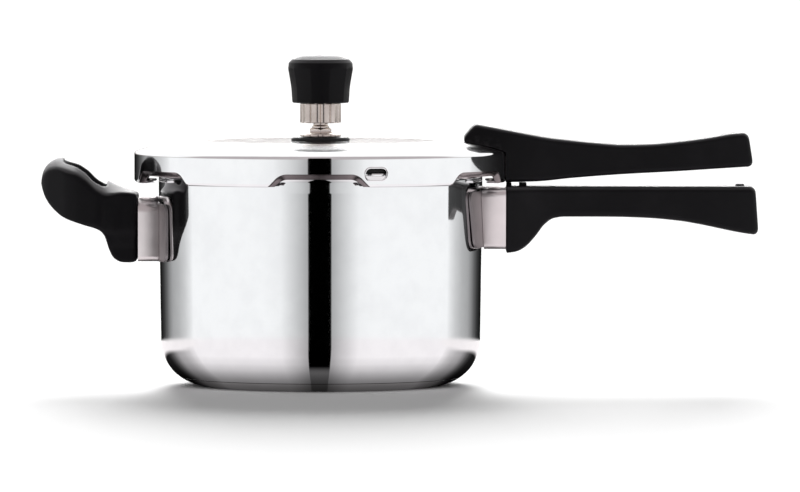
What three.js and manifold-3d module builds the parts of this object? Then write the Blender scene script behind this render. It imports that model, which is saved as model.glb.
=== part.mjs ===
// Stovetop pressure cooker, three litres, with an outer bayonet lid. Millimetres, +Z up.
// The origin is the centre of the base, on the plane it stands on. The long handles point along +X.
// The pot stands on a bonded heat-spreading base. The lid's six lugs hook under six tabs of the pot's
// rim, a rubber ring seals between them, and a weight sits on the vent at the middle of the lid.

import * as THREE from "three";
import { mergeVertices } from "three/addons/utils/BufferGeometryUtils.js";
import Module from "manifold-3d";

const wasm = await Module();
wasm.setup();

// Driving dimensions -----------------------------------------------------------------------------

const GAP = 0.3; // between pieces that touch
const ROUND = 60; // facets round the pot and the lid

const POT_RADIUS = 91.7; // outside, where the bottom corner ends
const NECK_RADIUS = 93; // outside, under the rim
const WALL = 1.4;
const CORNER_RADIUS = 26; // the outline's round bottom corner
const FLOOR_Z = 4.9; // underside of the pot above the bonded base
const BASE_SKIN = 0.7;

const RIM_Z = 124.6; // top of the rim's flange
const FLANGE = 1.6;
const NECK_Z = 113; // end of the wall's draft
const NOTCH_RADIUS = 96.6; // rim between the tabs
const TAB_RADIUS = 104;
const TAB_LIP = 6; // height of the tabs' turned-down edge
const LUGS = 6;
const TAB_HALF_ANGLE = 13.5;
const LUG_HALF_ANGLE = 14.4;
const FIRST_TAB_ANGLE = 0; // degrees from +X to the middle of a tab, and of a lug when locked

const LID_RADIUS = 107;
const LID_SHEET = 1.2;
const SHOULDER_Z = 134.7; // where the lid's top meets its skirt
const SKIRT_Z = 116.7; // lower edge of the skirt
const LUG_REACH = 97.5; // inner radius of the lugs
const LUG_THICKNESS = 1.4;
const LID_RISE = 5.7; // the lid's flat middle above the shoulder
const FLAT_RADIUS = 66;
const FALL_POWER = 2.4; // how late the lid's top falls towards its shoulder
const ARCH_Z = 122.4; // top of the gaps between lugs
const ARCH_HALF_WIDTH = 28;
const ARCH_TOP_HALF_WIDTH = 21;

const WINDOW_ANGLE = 17.6; // from the middle of the front gap to the relief window
const WINDOW_Z = 124.35;
const WINDOW_WIDTH = 12.4;
const WINDOW_HEIGHT = 6.3;

const BRACKET_RADIUS = NECK_RADIUS + GAP; // inside of the welded saddles
const SADDLE = 1.4;
const COLLAR_RADIUS = BRACKET_RADIUS + SADDLE + GAP;
const COLLAR_SHEET = 1;
const BODY_SADDLE = { topHalf: 39.7, bottomHalf: 32.4, low: 79.8, high: 112 };
const HELPER_SADDLE = { topHalf: 34, bottomHalf: 34, low: 71.8, high: 104.6 };
const BODY_COLLAR = { topHalf: 23.2, bottomHalf: 15.4, low: 78.6, high: 113.6, crown: 5, end: 106.3 };
const HELPER_COLLAR = { topHalf: 21, bottomHalf: 21, low: 71.8, high: 108, crown: 8, end: -104.4 };
const SCREW_RADIUS = 2.4;
const SCREW_HEAD_RADIUS = 4.2;
const SCREW_HEAD = 2.8;

const VENT_HOLE = 5.2;
const VENT_RADIUS = 4.8;
const VENT_TOP = 158;
const ORIFICE_RADIUS = 1.4;
const WEIGHT_Z = 150.6; // underside of the weight
const WEIGHT_RADIUS = 12;
const CAP_Z = 162.1;
const CAP_TOP = 189.6;
const CAP_RADIUS = 18.7;
const FLUTES = 12;

const PLUG_Y = 46; // the safety plug stands behind the vent
const PLUG_HOLE = 4.2;

// Materials --------------------------------------------------------------------------------------

const material = (color, roughness, metalness) =>
  new THREE.MeshStandardMaterial({ color, roughness, metalness });
const mirrorSteel = material(0xd9dadb, 0.08, 1);
const satinSteel = material(0xb9b4b1, 0.3, 1);
const nickel = material(0xd8cdc2, 0.2, 1);
const brass = material(0xc9a659, 0.3, 1);
const aluminium = material(0xc2c4c6, 0.45, 1);
const fusible = material(0x9a9a98, 0.5, 1);
const bakelite = material(0x0e0d10, 0.45, 0);
const rubber = material(0x151515, 0.75, 0);
const fibre = material(0x6b3b2a, 0.8, 0);

// Tools ------------------------------------------------------------------------------------------

const DEG = Math.PI / 180;
const point = (x, y) => new THREE.Vector2(x, y);

// A closed three.js geometry as a solid that can be cut and joined.
function solidOf(geometry) {
  const bare = geometry.clone();
  bare.deleteAttribute("normal");
  bare.deleteAttribute("uv");
  const merged = mergeVertices(bare, 1e-4);
  return new wasm.Manifold(
    new wasm.Mesh({
      numProp: 3,
      vertProperties: new Float32Array(merged.attributes.position.array),
      triVerts: new Uint32Array(merged.index.array),
    }),
  );
}

// A solid back as a three.js geometry.
function geometryOf(solid) {
  const { vertProperties, triVerts } = solid.getMesh();
  const geometry = new THREE.BufferGeometry();
  geometry.setAttribute("position", new THREE.BufferAttribute(vertProperties, 3));
  geometry.setIndex(new THREE.BufferAttribute(triVerts, 1));
  return geometry;
}

// A profile of [radius, height] pairs turned round the Z axis. It runs anticlockwise in the
// half-plane, with radius to the right and height up, and closes on itself or on the axis.
function turned(profile, segments = ROUND) {
  const points = profile.map(([r, z]) => point(r, z));
  if (profile[0][0] > 0) points.push(points[0].clone());
  return solidOf(new THREE.LatheGeometry(points, segments).rotateX(Math.PI / 2));
}

// Points of an arc about (r, z), from one angle to another in degrees, 0 pointing outwards.
function arc(r, z, radius, from, to, steps) {
  return Array.from({ length: steps + 1 }, (_, i) => {
    const a = (from + ((to - from) * i) / steps) * DEG;
    return [r + radius * Math.cos(a), z + radius * Math.sin(a)];
  });
}

// A ring of rectangular section.
const ring = (inner, outer, low, high, segments = ROUND) =>
  turned([[inner, low], [outer, low], [outer, high], [inner, high]], segments);

// A round bar along Z.
const bar = (radius, low, high, segments = 24) =>
  turned([[0, low], [radius, low], [radius, high], [0, high]], segments);

// A block between two corners.
function block([x0, y0, z0], [x1, y1, z1]) {
  const box = new THREE.BoxGeometry(x1 - x0, y1 - y0, z1 - z0);
  return solidOf(box.translate((x0 + x1) / 2, (y0 + y1) / 2, (z0 + z1) / 2));
}

// A shape extruded upwards from a height.
function raised(shape, low, high, curveSegments = 8) {
  const made = new THREE.ExtrudeGeometry(shape, {
    depth: high - low,
    bevelEnabled: false,
    curveSegments,
  });
  return solidOf(made.translate(0, 0, low));
}

// A side outline in X and Z, extruded to both sides of the middle plane.
function sideways(shape, halfWidth, curveSegments = 3) {
  const made = new THREE.ExtrudeGeometry(shape, {
    depth: 2 * halfWidth,
    bevelEnabled: false,
    curveSegments,
  });
  return solidOf(made.translate(0, 0, -halfWidth).rotateX(Math.PI / 2));
}

// A shape in Y and Z, extruded from one X to another.
function lengthways(shape, from, to, curveSegments = 4) {
  const made = new THREE.ExtrudeGeometry(shape, {
    depth: to - from,
    bevelEnabled: false,
    curveSegments,
  });
  return solidOf(made.rotateX(Math.PI / 2).rotateZ(Math.PI / 2).translate(from, 0, 0));
}

// A wedge of all space about the Z axis, between two angles in degrees.
function wedge(from, to, low, high) {
  const far = 200;
  const shape = new THREE.Shape([point(0, 0)]);
  shape.moveTo(0, 0);
  for (const a of [from, (from + to) / 2, to]) {
    shape.lineTo(far * Math.cos(a * DEG), far * Math.sin(a * DEG));
  }
  return raised(shape, low, high);
}

// A four-sided outline with round corners, wide at the top and narrower below. The radius is the
// lower corners', and crown the upper ones'.
function shield(topHalf, bottomHalf, low, high, radius, crown = radius) {
  const shape = new THREE.Shape();
  shape.moveTo(-bottomHalf + radius, low);
  shape.lineTo(bottomHalf - radius, low);
  shape.quadraticCurveTo(bottomHalf, low, bottomHalf + 0.3, low + radius);
  shape.lineTo(topHalf, high - crown);
  shape.quadraticCurveTo(topHalf, high, topHalf - crown, high);
  shape.lineTo(-topHalf + crown, high);
  shape.quadraticCurveTo(-topHalf, high, -topHalf, high - crown);
  shape.lineTo(-bottomHalf - 0.3, low + radius);
  shape.quadraticCurveTo(-bottomHalf, low, -bottomHalf + radius, low);
  return shape;
}

function hexagon(acrossFlats) {
  const corner = acrossFlats / 2 / Math.cos(30 * DEG);
  return new THREE.Shape(
    Array.from({ length: 6 }, (_, i) =>
      point(corner * Math.cos(i * 60 * DEG), corner * Math.sin(i * 60 * DEG)),
    ),
  );
}

// A flute's cutter is a round bar half sunk in the side.
const fluted = (solid, radius, depth, count, low, high) =>
  Array.from({ length: count }, (_, i) => {
    const a = i * ((2 * Math.PI) / count);
    const r = radius + depth;
    return bar(2 * depth, low, high, 8).translate([r * Math.cos(a), r * Math.sin(a), 0]);
  }).reduce((made, cutter) => made.subtract(cutter), solid);

const cooker = new THREE.Group();

// Adds a finished solid as a named mesh.
function add(name, solid, finish) {
  const mesh = new THREE.Mesh(geometryOf(solid), finish);
  mesh.name = name;
  cooker.add(mesh);
  return solid;
}

// The pot ----------------------------------------------------------------------------------------

const cornerCentre = POT_RADIUS - CORNER_RADIUS;

// Points of the outline's bottom corner, offset inwards, from one height up to another.
function cornerArc(offset, low, high, steps) {
  const radius = CORNER_RADIUS - offset;
  const angle = (z) => Math.asin(Math.max(-1, (z - CORNER_RADIUS) / radius)) / DEG;
  return arc(cornerCentre, CORNER_RADIUS, radius, angle(low), angle(high), steps);
}

function potShell() {
  const innerCorner = 18;
  const innerRadius = POT_RADIUS - WALL;
  const innerFloor = FLOOR_Z + WALL;
  const neckInner = NECK_RADIUS - WALL;
  const flangeZ = RIM_Z - FLANGE;
  const shell = turned([
    [0, FLOOR_Z],
    ...cornerArc(0, FLOOR_Z, CORNER_RADIUS, 4),
    [NECK_RADIUS, NECK_Z],
    [NECK_RADIUS, flangeZ - 3],
    [NOTCH_RADIUS - 0.6, flangeZ],
    [TAB_RADIUS - FLANGE, flangeZ],
    [TAB_RADIUS - FLANGE, RIM_Z - TAB_LIP],
    [TAB_RADIUS, RIM_Z - TAB_LIP],
    [TAB_RADIUS, RIM_Z],
    [neckInner, RIM_Z],
    [neckInner, NECK_Z],
    ...arc(innerRadius - innerCorner, innerFloor + innerCorner, innerCorner, 0, -90, 4),
    [0, innerFloor],
  ]);
  const outside = ring(NOTCH_RADIUS, TAB_RADIUS + 5, 110, 130);
  const pitch = 360 / LUGS;
  return Array.from({ length: LUGS }, (_, i) => FIRST_TAB_ANGLE + (i + 0.5) * pitch).reduce(
    (solid, angle) => {
      const half = pitch / 2 - TAB_HALF_ANGLE;
      return solid.subtract(outside.intersect(wedge(angle - half, angle + half, 110, 130)));
    },
    shell,
  );
}

function baseSkin() {
  const edge = FLOOR_Z - GAP;
  return turned([
    [0, 0],
    ...cornerArc(0, 0, edge, 4),
    ...cornerArc(BASE_SKIN, BASE_SKIN, edge, 4).reverse(),
    [0, BASE_SKIN],
  ]);
}

function heatSpreader() {
  const low = BASE_SKIN + GAP;
  return turned([[0, low], ...cornerArc(low, low, FLOOR_Z - GAP, 3), [0, FLOOR_Z - GAP]]);
}

add("pot_shell", potShell(), mirrorSteel);
add("base_heat_spreader", heatSpreader(), aluminium);
add("base_capsule", baseSkin(), satinSteel);

// The pot's brackets, collars and handles ---------------------------------------------------------

// A curved plate that hugs the wall: its outline is a shield, and facing is 1 for +X, -1 for -X.
function saddle({ topHalf, bottomHalf, low, high }, facing) {
  const corner = 4;
  const skin = ring(BRACKET_RADIUS, BRACKET_RADIUS + SADDLE, low, high);
  const outline = shield(topHalf, bottomHalf, low, high, corner);
  const [from, to] = facing > 0 ? [40, 100] : [-100, -40];
  return skin.intersect(lengthways(outline, from, to));
}

// An open sleeve between the saddle and a handle.
function collar({ topHalf, bottomHalf, low, high, crown, end }) {
  const [from, to] = end > 0 ? [60, end] : [end, -60];
  const t = COLLAR_SHEET;
  const foot = 5;
  const outer = lengthways(shield(topHalf, bottomHalf, low, high, foot, crown), from, to);
  const inner = shield(topHalf - t, bottomHalf - t, low + t, high - t, foot - t, crown - t);
  return outer
    .subtract(lengthways(inner, from - 1, to + 1))
    .subtract(bar(COLLAR_RADIUS, 0, 130, ROUND));
}

// A pan-head screw standing on its head, pointing up from a height.
const screwUp = (z, length) =>
  bar(SCREW_HEAD_RADIUS, z, z + SCREW_HEAD).add(bar(SCREW_RADIUS, z + 1, z + length, 16));

// The hole that such a screw sits in, open below.
const screwHole = (z, length) =>
  bar(SCREW_HEAD_RADIUS + 0.4, z - 20, z + SCREW_HEAD + GAP).add(
    bar(SCREW_RADIUS + 0.35, z, z + length + GAP, 16),
  );

const BODY_TONGUE = { low: 104, high: 107, half: 8, end: 152 };
const BODY_SCREW = { x: 140, z: 98.6, length: 12.2 };

function bodyBracket() {
  const { low, high, half, end } = BODY_TONGUE;
  const tongue = block([BRACKET_RADIUS + 0.5, -half, low], [end, half, high]);
  const hole = bar(SCREW_RADIUS + 0.35, low - 5, high + 5, 16).translate([BODY_SCREW.x, 0, 0]);
  return saddle(BODY_SADDLE, 1).add(tongue).subtract(hole);
}

const bodyHandleOutline = new THREE.Shape();
bodyHandleOutline.moveTo(106.6, 114.5);
bodyHandleOutline.lineTo(106.6, 76.6);
bodyHandleOutline.lineTo(112.6, 77.3);
bodyHandleOutline.splineThru([point(117.4, 80.2), point(123.6, 86.9), point(128.5, 93.2),
  point(134.6, 97.1)]);
bodyHandleOutline.splineThru([point(168.5, 97.3), point(187.2, 96.9), point(218.4, 93.2), point(245, 87.6)]);
bodyHandleOutline.quadraticCurveTo(251.9, 86.6, 251.6, 92);
bodyHandleOutline.lineTo(249.8, 111.5);
bodyHandleOutline.quadraticCurveTo(249.5, 114.5, 246.5, 114.5);
bodyHandleOutline.lineTo(106.6, 114.5);

// Half-widths along a handle, mirrored about the middle plane.
function plan(stations) {
  const upper = stations.map(([x, half]) => point(x, half));
  const lower = stations.map(([x, half]) => point(x, -half)).reverse();
  return new THREE.Shape([...upper, ...lower].reverse());
}

function bodyHandle() {
  const width = plan([[106.6, 23.2], [112, 22], [122, 18], [136, 14], [165, 12.6], [205, 13.4],
    [238, 15], [246, 14.2], [251, 10], [253, 0.5]]);
  const { low, high, half, end } = BODY_TONGUE;
  const slot = block([100, -half - GAP, low - GAP], [end + 1, half + GAP, high + GAP]);
  const nub = bar(2.6, 113, 115.6, 12).translate([241, 0, 0]);
  return sideways(bodyHandleOutline, 30)
    .intersect(raised(width, 60, 130))
    .add(nub)
    .subtract(slot)
    .subtract(screwHole(BODY_SCREW.z, BODY_SCREW.length).translate([BODY_SCREW.x, 0, 0]));
}

add("body_handle_bracket", bodyBracket(), satinSteel);
add("body_handle_collar", collar(BODY_COLLAR), satinSteel);
add("body_handle", bodyHandle(), bakelite);
add(
  "body_handle_screw",
  screwUp(BODY_SCREW.z, BODY_SCREW.length).translate([BODY_SCREW.x, 0, 0]),
  satinSteel,
);

const HELPER_SCREW = { z: 82, head: -121.5, length: 24 };
const HELPER_BOSS = { half: 8, halfHeight: 7, end: -102.5 };

// Turns a piece made along +Z to lie along +X from a point.
const alongX = (solid, x, z) => solid.rotate([0, 90, 0]).translate([x, 0, z]);

function helperBracket() {
  const { half, halfHeight, end } = HELPER_BOSS;
  const { z } = HELPER_SCREW;
  const boss = block([end, -half, z - halfHeight], [-BRACKET_RADIUS - 0.5, half, z + halfHeight]);
  const hole = alongX(bar(SCREW_RADIUS + 0.35, -115, -BRACKET_RADIUS - 1.8, 16), 0, z);
  return saddle(HELPER_SADDLE, -1).add(boss).subtract(hole);
}

const helperOutline = new THREE.Shape();
helperOutline.moveTo(-104.7, 72.3);
helperOutline.lineTo(-104.7, 109.6);
helperOutline.splineThru([point(-111.5, 112.4), point(-120.5, 116.4), point(-128.2, 121.3),
  point(-135.2, 128), point(-141, 130.8)]);
helperOutline.splineThru([point(-147.7, 131.2), point(-154.7, 129), point(-158.9, 123.6),
  point(-160.3, 117.5), point(-158.2, 112)]);
helperOutline.splineThru([point(-151.9, 103.8), point(-144.9, 97.6), point(-135.2, 93),
  point(-126.4, 90.4)]);
helperOutline.splineThru([point(-123, 86), point(-121.2, 78.6), point(-118.5, 73.4), point(-114.3, 71.2)]);
helperOutline.lineTo(-104.7, 72.3);

const HELPER_LOOP = { near: -122.5, far: -146.5, half: 22 };

function helperHandle() {
  const width = plan([[-162, 0.5], [-160, 14], [-156.5, 22], [-149, 30], [-138, 34], [-122, 34],
    [-112, 27], [-104.7, 21]].reverse());
  const { near, far, half } = HELPER_LOOP;
  const loop = new THREE.Shape();
  loop.moveTo(near - 4, -half);
  loop.quadraticCurveTo(near, -half, near, -half + 6);
  loop.lineTo(near, half - 6);
  loop.quadraticCurveTo(near, half, near - 4, half);
  loop.lineTo(far + 12, half);
  loop.quadraticCurveTo(far, half, far, half - 12);
  loop.lineTo(far, -half + 12);
  loop.quadraticCurveTo(far, -half, far + 12, -half);
  loop.lineTo(near - 4, -half);
  const { z, head, length } = HELPER_SCREW;
  const counterbore = alongX(bar(SCREW_HEAD_RADIUS + 0.4, -20, SCREW_HEAD + GAP), head, z);
  const hole = alongX(bar(SCREW_RADIUS + 0.35, 0, length), head, z);
  return sideways(helperOutline, 40)
    .intersect(raised(width, 60, 140))
    .subtract(raised(loop, 60, 140, 4))
    .subtract(counterbore)
    .subtract(hole);
}

const helperScrew = bar(SCREW_HEAD_RADIUS, 0, SCREW_HEAD).add(
  bar(SCREW_RADIUS, 1, HELPER_SCREW.length, 16),
);

add("helper_handle_bracket", helperBracket(), satinSteel);
add("helper_handle_collar", collar(HELPER_COLLAR), satinSteel);
add("helper_handle", helperHandle(), bakelite);
add("helper_handle_screw", alongX(helperScrew, HELPER_SCREW.head, HELPER_SCREW.z), satinSteel);

// The lid ----------------------------------------------------------------------------------------

// Height of the lid's outer face: a flat middle and a fall to the shoulder.
function lidHeight(r) {
  const t = (r - FLAT_RADIUS) / (LID_RADIUS - LID_SHEET - FLAT_RADIUS);
  return SHOULDER_Z + LID_RISE * (1 - Math.min(1, Math.max(0, t)) ** FALL_POWER);
}

const lidStations = [FLAT_RADIUS, 78, 86, 93, 98, 102, LID_RADIUS - LID_SHEET];

// The lid's face as a solid cap that reaches down to a height, for cutting what lies on the lid.
const lidForm = (clearance, low) =>
  turned([
    [0, low],
    [LID_RADIUS + clearance, low],
    [LID_RADIUS + clearance, SHOULDER_Z - 0.8],
    ...lidStations.map((r) => [r, lidHeight(r) + clearance]).reverse(),
    [0, SHOULDER_Z + LID_RISE + clearance],
  ]);

function lidShell() {
  const top = lidStations.map((r) => [r, lidHeight(r)]);
  const under = top.map(([r, z]) => [r - (r > 100 ? 0.6 : 0), z - LID_SHEET]);
  const inner = LID_RADIUS - LID_SHEET;
  const shell = turned([
    [VENT_HOLE, SHOULDER_Z + LID_RISE - LID_SHEET],
    ...under.slice(0, -1),
    [inner, SHOULDER_Z - LID_SHEET - 0.6],
    [inner, SKIRT_Z + LUG_THICKNESS],
    [LUG_REACH, SKIRT_Z + LUG_THICKNESS],
    [LUG_REACH, SKIRT_Z],
    [LID_RADIUS - 0.7, SKIRT_Z],
    [LID_RADIUS, SKIRT_Z + 0.7],
    [LID_RADIUS, SHOULDER_Z - 1],
    ...top.reverse(),
    [VENT_HOLE, SHOULDER_Z + LID_RISE],
  ]);
  const arch = new THREE.Shape();
  arch.moveTo(-ARCH_HALF_WIDTH, SKIRT_Z - 1);
  arch.lineTo(ARCH_HALF_WIDTH, SKIRT_Z - 1);
  arch.quadraticCurveTo(ARCH_TOP_HALF_WIDTH + 4, ARCH_Z - 0.4, ARCH_TOP_HALF_WIDTH, ARCH_Z);
  arch.lineTo(-ARCH_TOP_HALF_WIDTH, ARCH_Z);
  arch.quadraticCurveTo(-ARCH_TOP_HALF_WIDTH - 4, ARCH_Z - 0.4, -ARCH_HALF_WIDTH, SKIRT_Z - 1);
  // The cutter stands at -Y and reaches inwards past the lugs.
  const cutter = sideways(arch, 20, 3).translate([0, -LID_RADIUS, 0]);
  const lugGap = ring(LUG_REACH - 2, LID_RADIUS - LID_SHEET, SKIRT_Z - 1, SKIRT_Z + LUG_THICKNESS + 1);
  const pitch = 360 / LUGS;
  let lid = shell;
  for (let i = 0; i < LUGS; i++) {
    const middle = FIRST_TAB_ANGLE + (i + 0.5) * pitch;
    const half = pitch / 2 - LUG_HALF_ANGLE;
    lid = lid.subtract(cutter.rotate([0, 0, middle + 90]));
    lid = lid.subtract(lugGap.intersect(wedge(middle - half, middle + half, SKIRT_Z - 2, ARCH_Z)));
  }
  const front = FIRST_TAB_ANGLE - 1.5 * pitch;
  const r = WINDOW_HEIGHT / 2;
  const window = new THREE.Shape();
  window.absarc(WINDOW_WIDTH / 2 - r, WINDOW_Z, r, -Math.PI / 2, Math.PI / 2);
  window.absarc(r - WINDOW_WIDTH / 2, WINDOW_Z, r, Math.PI / 2, -Math.PI / 2);
  const windowCutter = sideways(window, 5, 8)
    .translate([0, -LID_RADIUS, 0])
    .rotate([0, 0, front + WINDOW_ANGLE + 90]);
  const plugHole = bar(PLUG_HOLE, 130, 150).translate([0, PLUG_Y, 0]);
  return lid.subtract(windowCutter).subtract(plugHole);
}

const GASKET_TOP = SHOULDER_Z - LID_SHEET - 0.5;

function gasket() {
  const inner = 94.4;
  const outer = 104.6;
  const low = RIM_Z + GAP;
  const lip = 2.4; // thickness of the two sealing lips
  const web = 3.4; // thickness of the wall that joins them
  return turned([
    [inner, low],
    [outer - 1, low],
    [outer, low + 1],
    [outer, GASKET_TOP - 1.6],
    [outer - 1.6, GASKET_TOP],
    [inner, GASKET_TOP],
    [inner, GASKET_TOP - lip],
    [outer - web, GASKET_TOP - lip],
    [outer - web, low + lip],
    [inner, low + lip],
  ]);
}

add("lid_shell", lidShell(), mirrorSteel);
add("sealing_ring", gasket(), rubber);

const LID_TONGUE = { low: 125, high: 128, half: 7, end: 163 };
const LID_SCREWS = [
  { x: 130, z: 119 },
  { x: 155, z: 120.8 },
];
const LID_SCREW_LENGTH = 12;
const LID_PLATE = { low: 119.5, high: 132, half: 12.5 };

function lidBracket() {
  const inner = LID_RADIUS + GAP;
  const { low, high, half } = LID_PLATE;
  const plate = ring(inner, inner + LID_SHEET, low, high).intersect(
    block([60, -half, low], [120, half, high]),
  );
  const tongue = block(
    [inner + 0.4, -LID_TONGUE.half, LID_TONGUE.low],
    [LID_TONGUE.end, LID_TONGUE.half, LID_TONGUE.high],
  );
  const holes = LID_SCREWS.map(({ x }) => bar(SCREW_RADIUS + 0.35, 120, 135, 16).translate([x, 0, 0]));
  return holes.reduce((solid, hole) => solid.subtract(hole), plate.add(tongue));
}

const lidHandleOutline = new THREE.Shape();
lidHandleOutline.moveTo(82.5, 142.6);
lidHandleOutline.lineTo(82.5, 134);
lidHandleOutline.lineTo(100, 134);
lidHandleOutline.lineTo(100, 116.9);
lidHandleOutline.lineTo(112, 116.9);
lidHandleOutline.splineThru([point(124.8, 117.6), point(143.5, 119.4), point(168.5, 121.3),
  point(205.9, 123.4), point(244, 125.9)]);
lidHandleOutline.quadraticCurveTo(248.9, 126.3, 248.5, 129.5);
lidHandleOutline.lineTo(247.3, 136.8);
lidHandleOutline.lineTo(246.3, 138);
lidHandleOutline.lineTo(245.4, 142.4);
lidHandleOutline.quadraticCurveTo(244.6, 145.4, 240.8, 145);
lidHandleOutline.splineThru([point(224.5, 142.5), point(205.9, 140.1), point(187.2, 138.4),
  point(174.7, 138.1), point(156, 139.4), point(131.1, 142.2), point(106.1, 146.9), point(91, 149.8)]);
lidHandleOutline.lineTo(88.2, 149.6);
lidHandleOutline.lineTo(82.5, 142.6);

function lidHandle() {
  const width = plan([[82, 13], [92, 15], [106, 16], [125, 15], [150, 13], [178, 12], [210, 13.4],
    [236, 15.2], [244, 14.4], [248, 10.5], [249.5, 0.5]]);
  const tongue = block([100, -LID_TONGUE.half - GAP, LID_TONGUE.low - GAP],
    [LID_TONGUE.end + 1, LID_TONGUE.half + GAP, LID_TONGUE.high + GAP]);
  const plateSpace = ring(
    LID_RADIUS, LID_RADIUS + LID_SHEET + 2 * GAP, LID_PLATE.low - GAP, LID_PLATE.high + GAP,
  );
  const pocket = plateSpace.intersect(
    block([60, -LID_PLATE.half - GAP, 100], [130, LID_PLATE.half + GAP, 140]),
  );
  const solid = sideways(lidHandleOutline, 30)
    .intersect(raised(width, 100, 160))
    .subtract(lidForm(0.4, 100))
    .subtract(tongue)
    .subtract(pocket);
  return LID_SCREWS.reduce(
    (made, { x, z }) => made.subtract(screwHole(z, LID_SCREW_LENGTH).translate([x, 0, 0])),
    solid,
  );
}

add("lid_handle_bracket", lidBracket(), satinSteel);
add("lid_handle", lidHandle(), bakelite);
LID_SCREWS.forEach(({ x, z }, i) =>
  add(`lid_handle_screw_${i + 1}`, screwUp(z, LID_SCREW_LENGTH).translate([x, 0, 0]), satinSteel),
);

// The vent ---------------------------------------------------------------------------------------

const lidTop = SHOULDER_Z + LID_RISE;
const lidUnder = lidTop - LID_SHEET;
const VENT_SEAL = { low: lidTop + GAP, high: lidTop + 2, bottom: 16.8, top: 15.8 };
const VENT_WASHER = { low: VENT_SEAL.high + GAP, high: VENT_SEAL.high + 1.9, radius: 11.9 };
const VENT_NUT = { low: VENT_WASHER.high + GAP, high: VENT_WASHER.high + 3.6, flats: 12.3 };

function ventTube() {
  const flange = { low: 133.9, high: lidUnder - 1 - 2 * GAP, radius: 8.5 };
  const neck = 2.6;
  const head = 3.5;
  return turned(
    [
      [ORIFICE_RADIUS, flange.low],
      [flange.radius - 0.8, flange.low],
      [flange.radius, flange.low + 0.8],
      [flange.radius, flange.high],
      [VENT_RADIUS, flange.high],
      [VENT_RADIUS, VENT_NUT.high + 0.8],
      [4.1, VENT_NUT.high + 1.6],
      [4.1, WEIGHT_Z + 1.2],
      [neck, WEIGHT_Z + 2.6],
      [neck, VENT_TOP - 2.6],
      [head, VENT_TOP - 1.8],
      [head, VENT_TOP - 0.8],
      [ORIFICE_RADIUS + 0.6, VENT_TOP],
      [ORIFICE_RADIUS, VENT_TOP],
    ],
    32,
  );
}

// A hexagon nut with its upper corners turned off.
function nut(flats, low, high, hole) {
  const corner = flats / 2 / Math.cos(30 * DEG);
  const dome = turned([[0, low], [corner, low], [corner, high - 1.4], [flats / 2 - 1, high], [0, high]], 36);
  return raised(hexagon(flats), low, high).intersect(dome).subtract(bar(hole, low - 1, high + 1));
}

add("vent_tube", ventTube(), nickel);
add("vent_inner_washer", ring(VENT_HOLE, 8.5, lidUnder - 1 - GAP, lidUnder - GAP, 32), fibre);
add(
  "vent_rubber_seat",
  turned(
    [
      [VENT_HOLE, VENT_SEAL.low],
      [VENT_SEAL.bottom, VENT_SEAL.low],
      [VENT_SEAL.top, VENT_SEAL.high],
      [VENT_HOLE, VENT_SEAL.high],
    ],
    36,
  ),
  rubber,
);
add(
  "vent_washer",
  fluted(
    ring(VENT_HOLE, VENT_WASHER.radius, VENT_WASHER.low, VENT_WASHER.high, 36),
    VENT_WASHER.radius, 0.5, FLUTES, lidTop, VENT_WASHER.high + 1,
  ),
  nickel,
);
const ventNut = nut(VENT_NUT.flats, VENT_NUT.low, VENT_NUT.high, VENT_RADIUS + GAP);
add("vent_nut", ventNut.rotate([0, 0, 30]), nickel);

// The weight -------------------------------------------------------------------------------------

const BORE_RADIUS = 5;
const BORE_TOP = 163;
const CORE_RADIUS = 10.4; // of the weight inside its cap
const CORE_TOP = 179;
const CLIP = { inner: 3.7, outer: 5.6, low: 154.2, high: 155.4 };
const NEEDLE = { radius: 2.2, top: 172 };

function weightBody() {
  const outside = fluted(
    bar(WEIGHT_RADIUS, WEIGHT_Z, CAP_Z - GAP, 48),
    WEIGHT_RADIUS, 0.5, FLUTES, WEIGHT_Z - 1, CAP_Z,
  );
  const bore = turned(
    [
      [0, WEIGHT_Z - 1],
      [BORE_RADIUS, WEIGHT_Z - 1],
      [BORE_RADIUS, CLIP.low - GAP],
      [CLIP.outer + GAP, CLIP.low - GAP],
      [CLIP.outer + GAP, CLIP.high + GAP],
      [BORE_RADIUS, CLIP.high + GAP],
      [BORE_RADIUS, BORE_TOP],
      [0, BORE_TOP],
    ],
    24,
  );
  const socket = bar(NEEDLE.radius + GAP, BORE_TOP - 1, NEEDLE.top + GAP, 16);
  return outside.add(bar(CORE_RADIUS, CAP_Z - 1, CORE_TOP, 32)).subtract(bore).subtract(socket);
}

// The needle is pressed into the weight, and its cone closes the vent.
const weightNeedle = turned(
  [[0, VENT_TOP - 0.9], [ORIFICE_RADIUS - 0.3, VENT_TOP + 0.2], [NEEDLE.radius, VENT_TOP + 1.8],
    [NEEDLE.radius, NEEDLE.top], [0, NEEDLE.top]],
  16,
);

function weightCap() {
  const form = turned(
    [
      [0, CAP_Z],
      [15.9, CAP_Z],
      [16.4, CAP_Z + 0.6],
      [17, 171.8],
      [CAP_RADIUS, 181.6],
      [CAP_RADIUS - 0.2, 184.6],
      [CAP_RADIUS - 1.6, 186.6],
      [12, 188.5],
      [5, CAP_TOP - 0.2],
      [0, CAP_TOP],
    ],
    48,
  );
  const socket = bar(CORE_RADIUS + GAP, CAP_Z - 1, CORE_TOP + GAP, 32);
  return fluted(form, 17.4, 0.45, FLUTES, CAP_Z - 1, 183).subtract(socket);
}

add("weight_clip", ring(CLIP.inner, CLIP.outer, CLIP.low, CLIP.high, 24), satinSteel);
add("weight_body", weightBody(), nickel);
add("weight_needle", weightNeedle, satinSteel);
add("weight_cap", weightCap(), bakelite);

// The safety plug --------------------------------------------------------------------------------

const plugTop = lidHeight(PLUG_Y);
const PLUG = { washerLow: plugTop + 0.5, headLow: plugTop + 1.4, high: plugTop + 4.4, flats: 11 };
const atPlug = (solid) => solid.translate([0, PLUG_Y, 0]);

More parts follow.
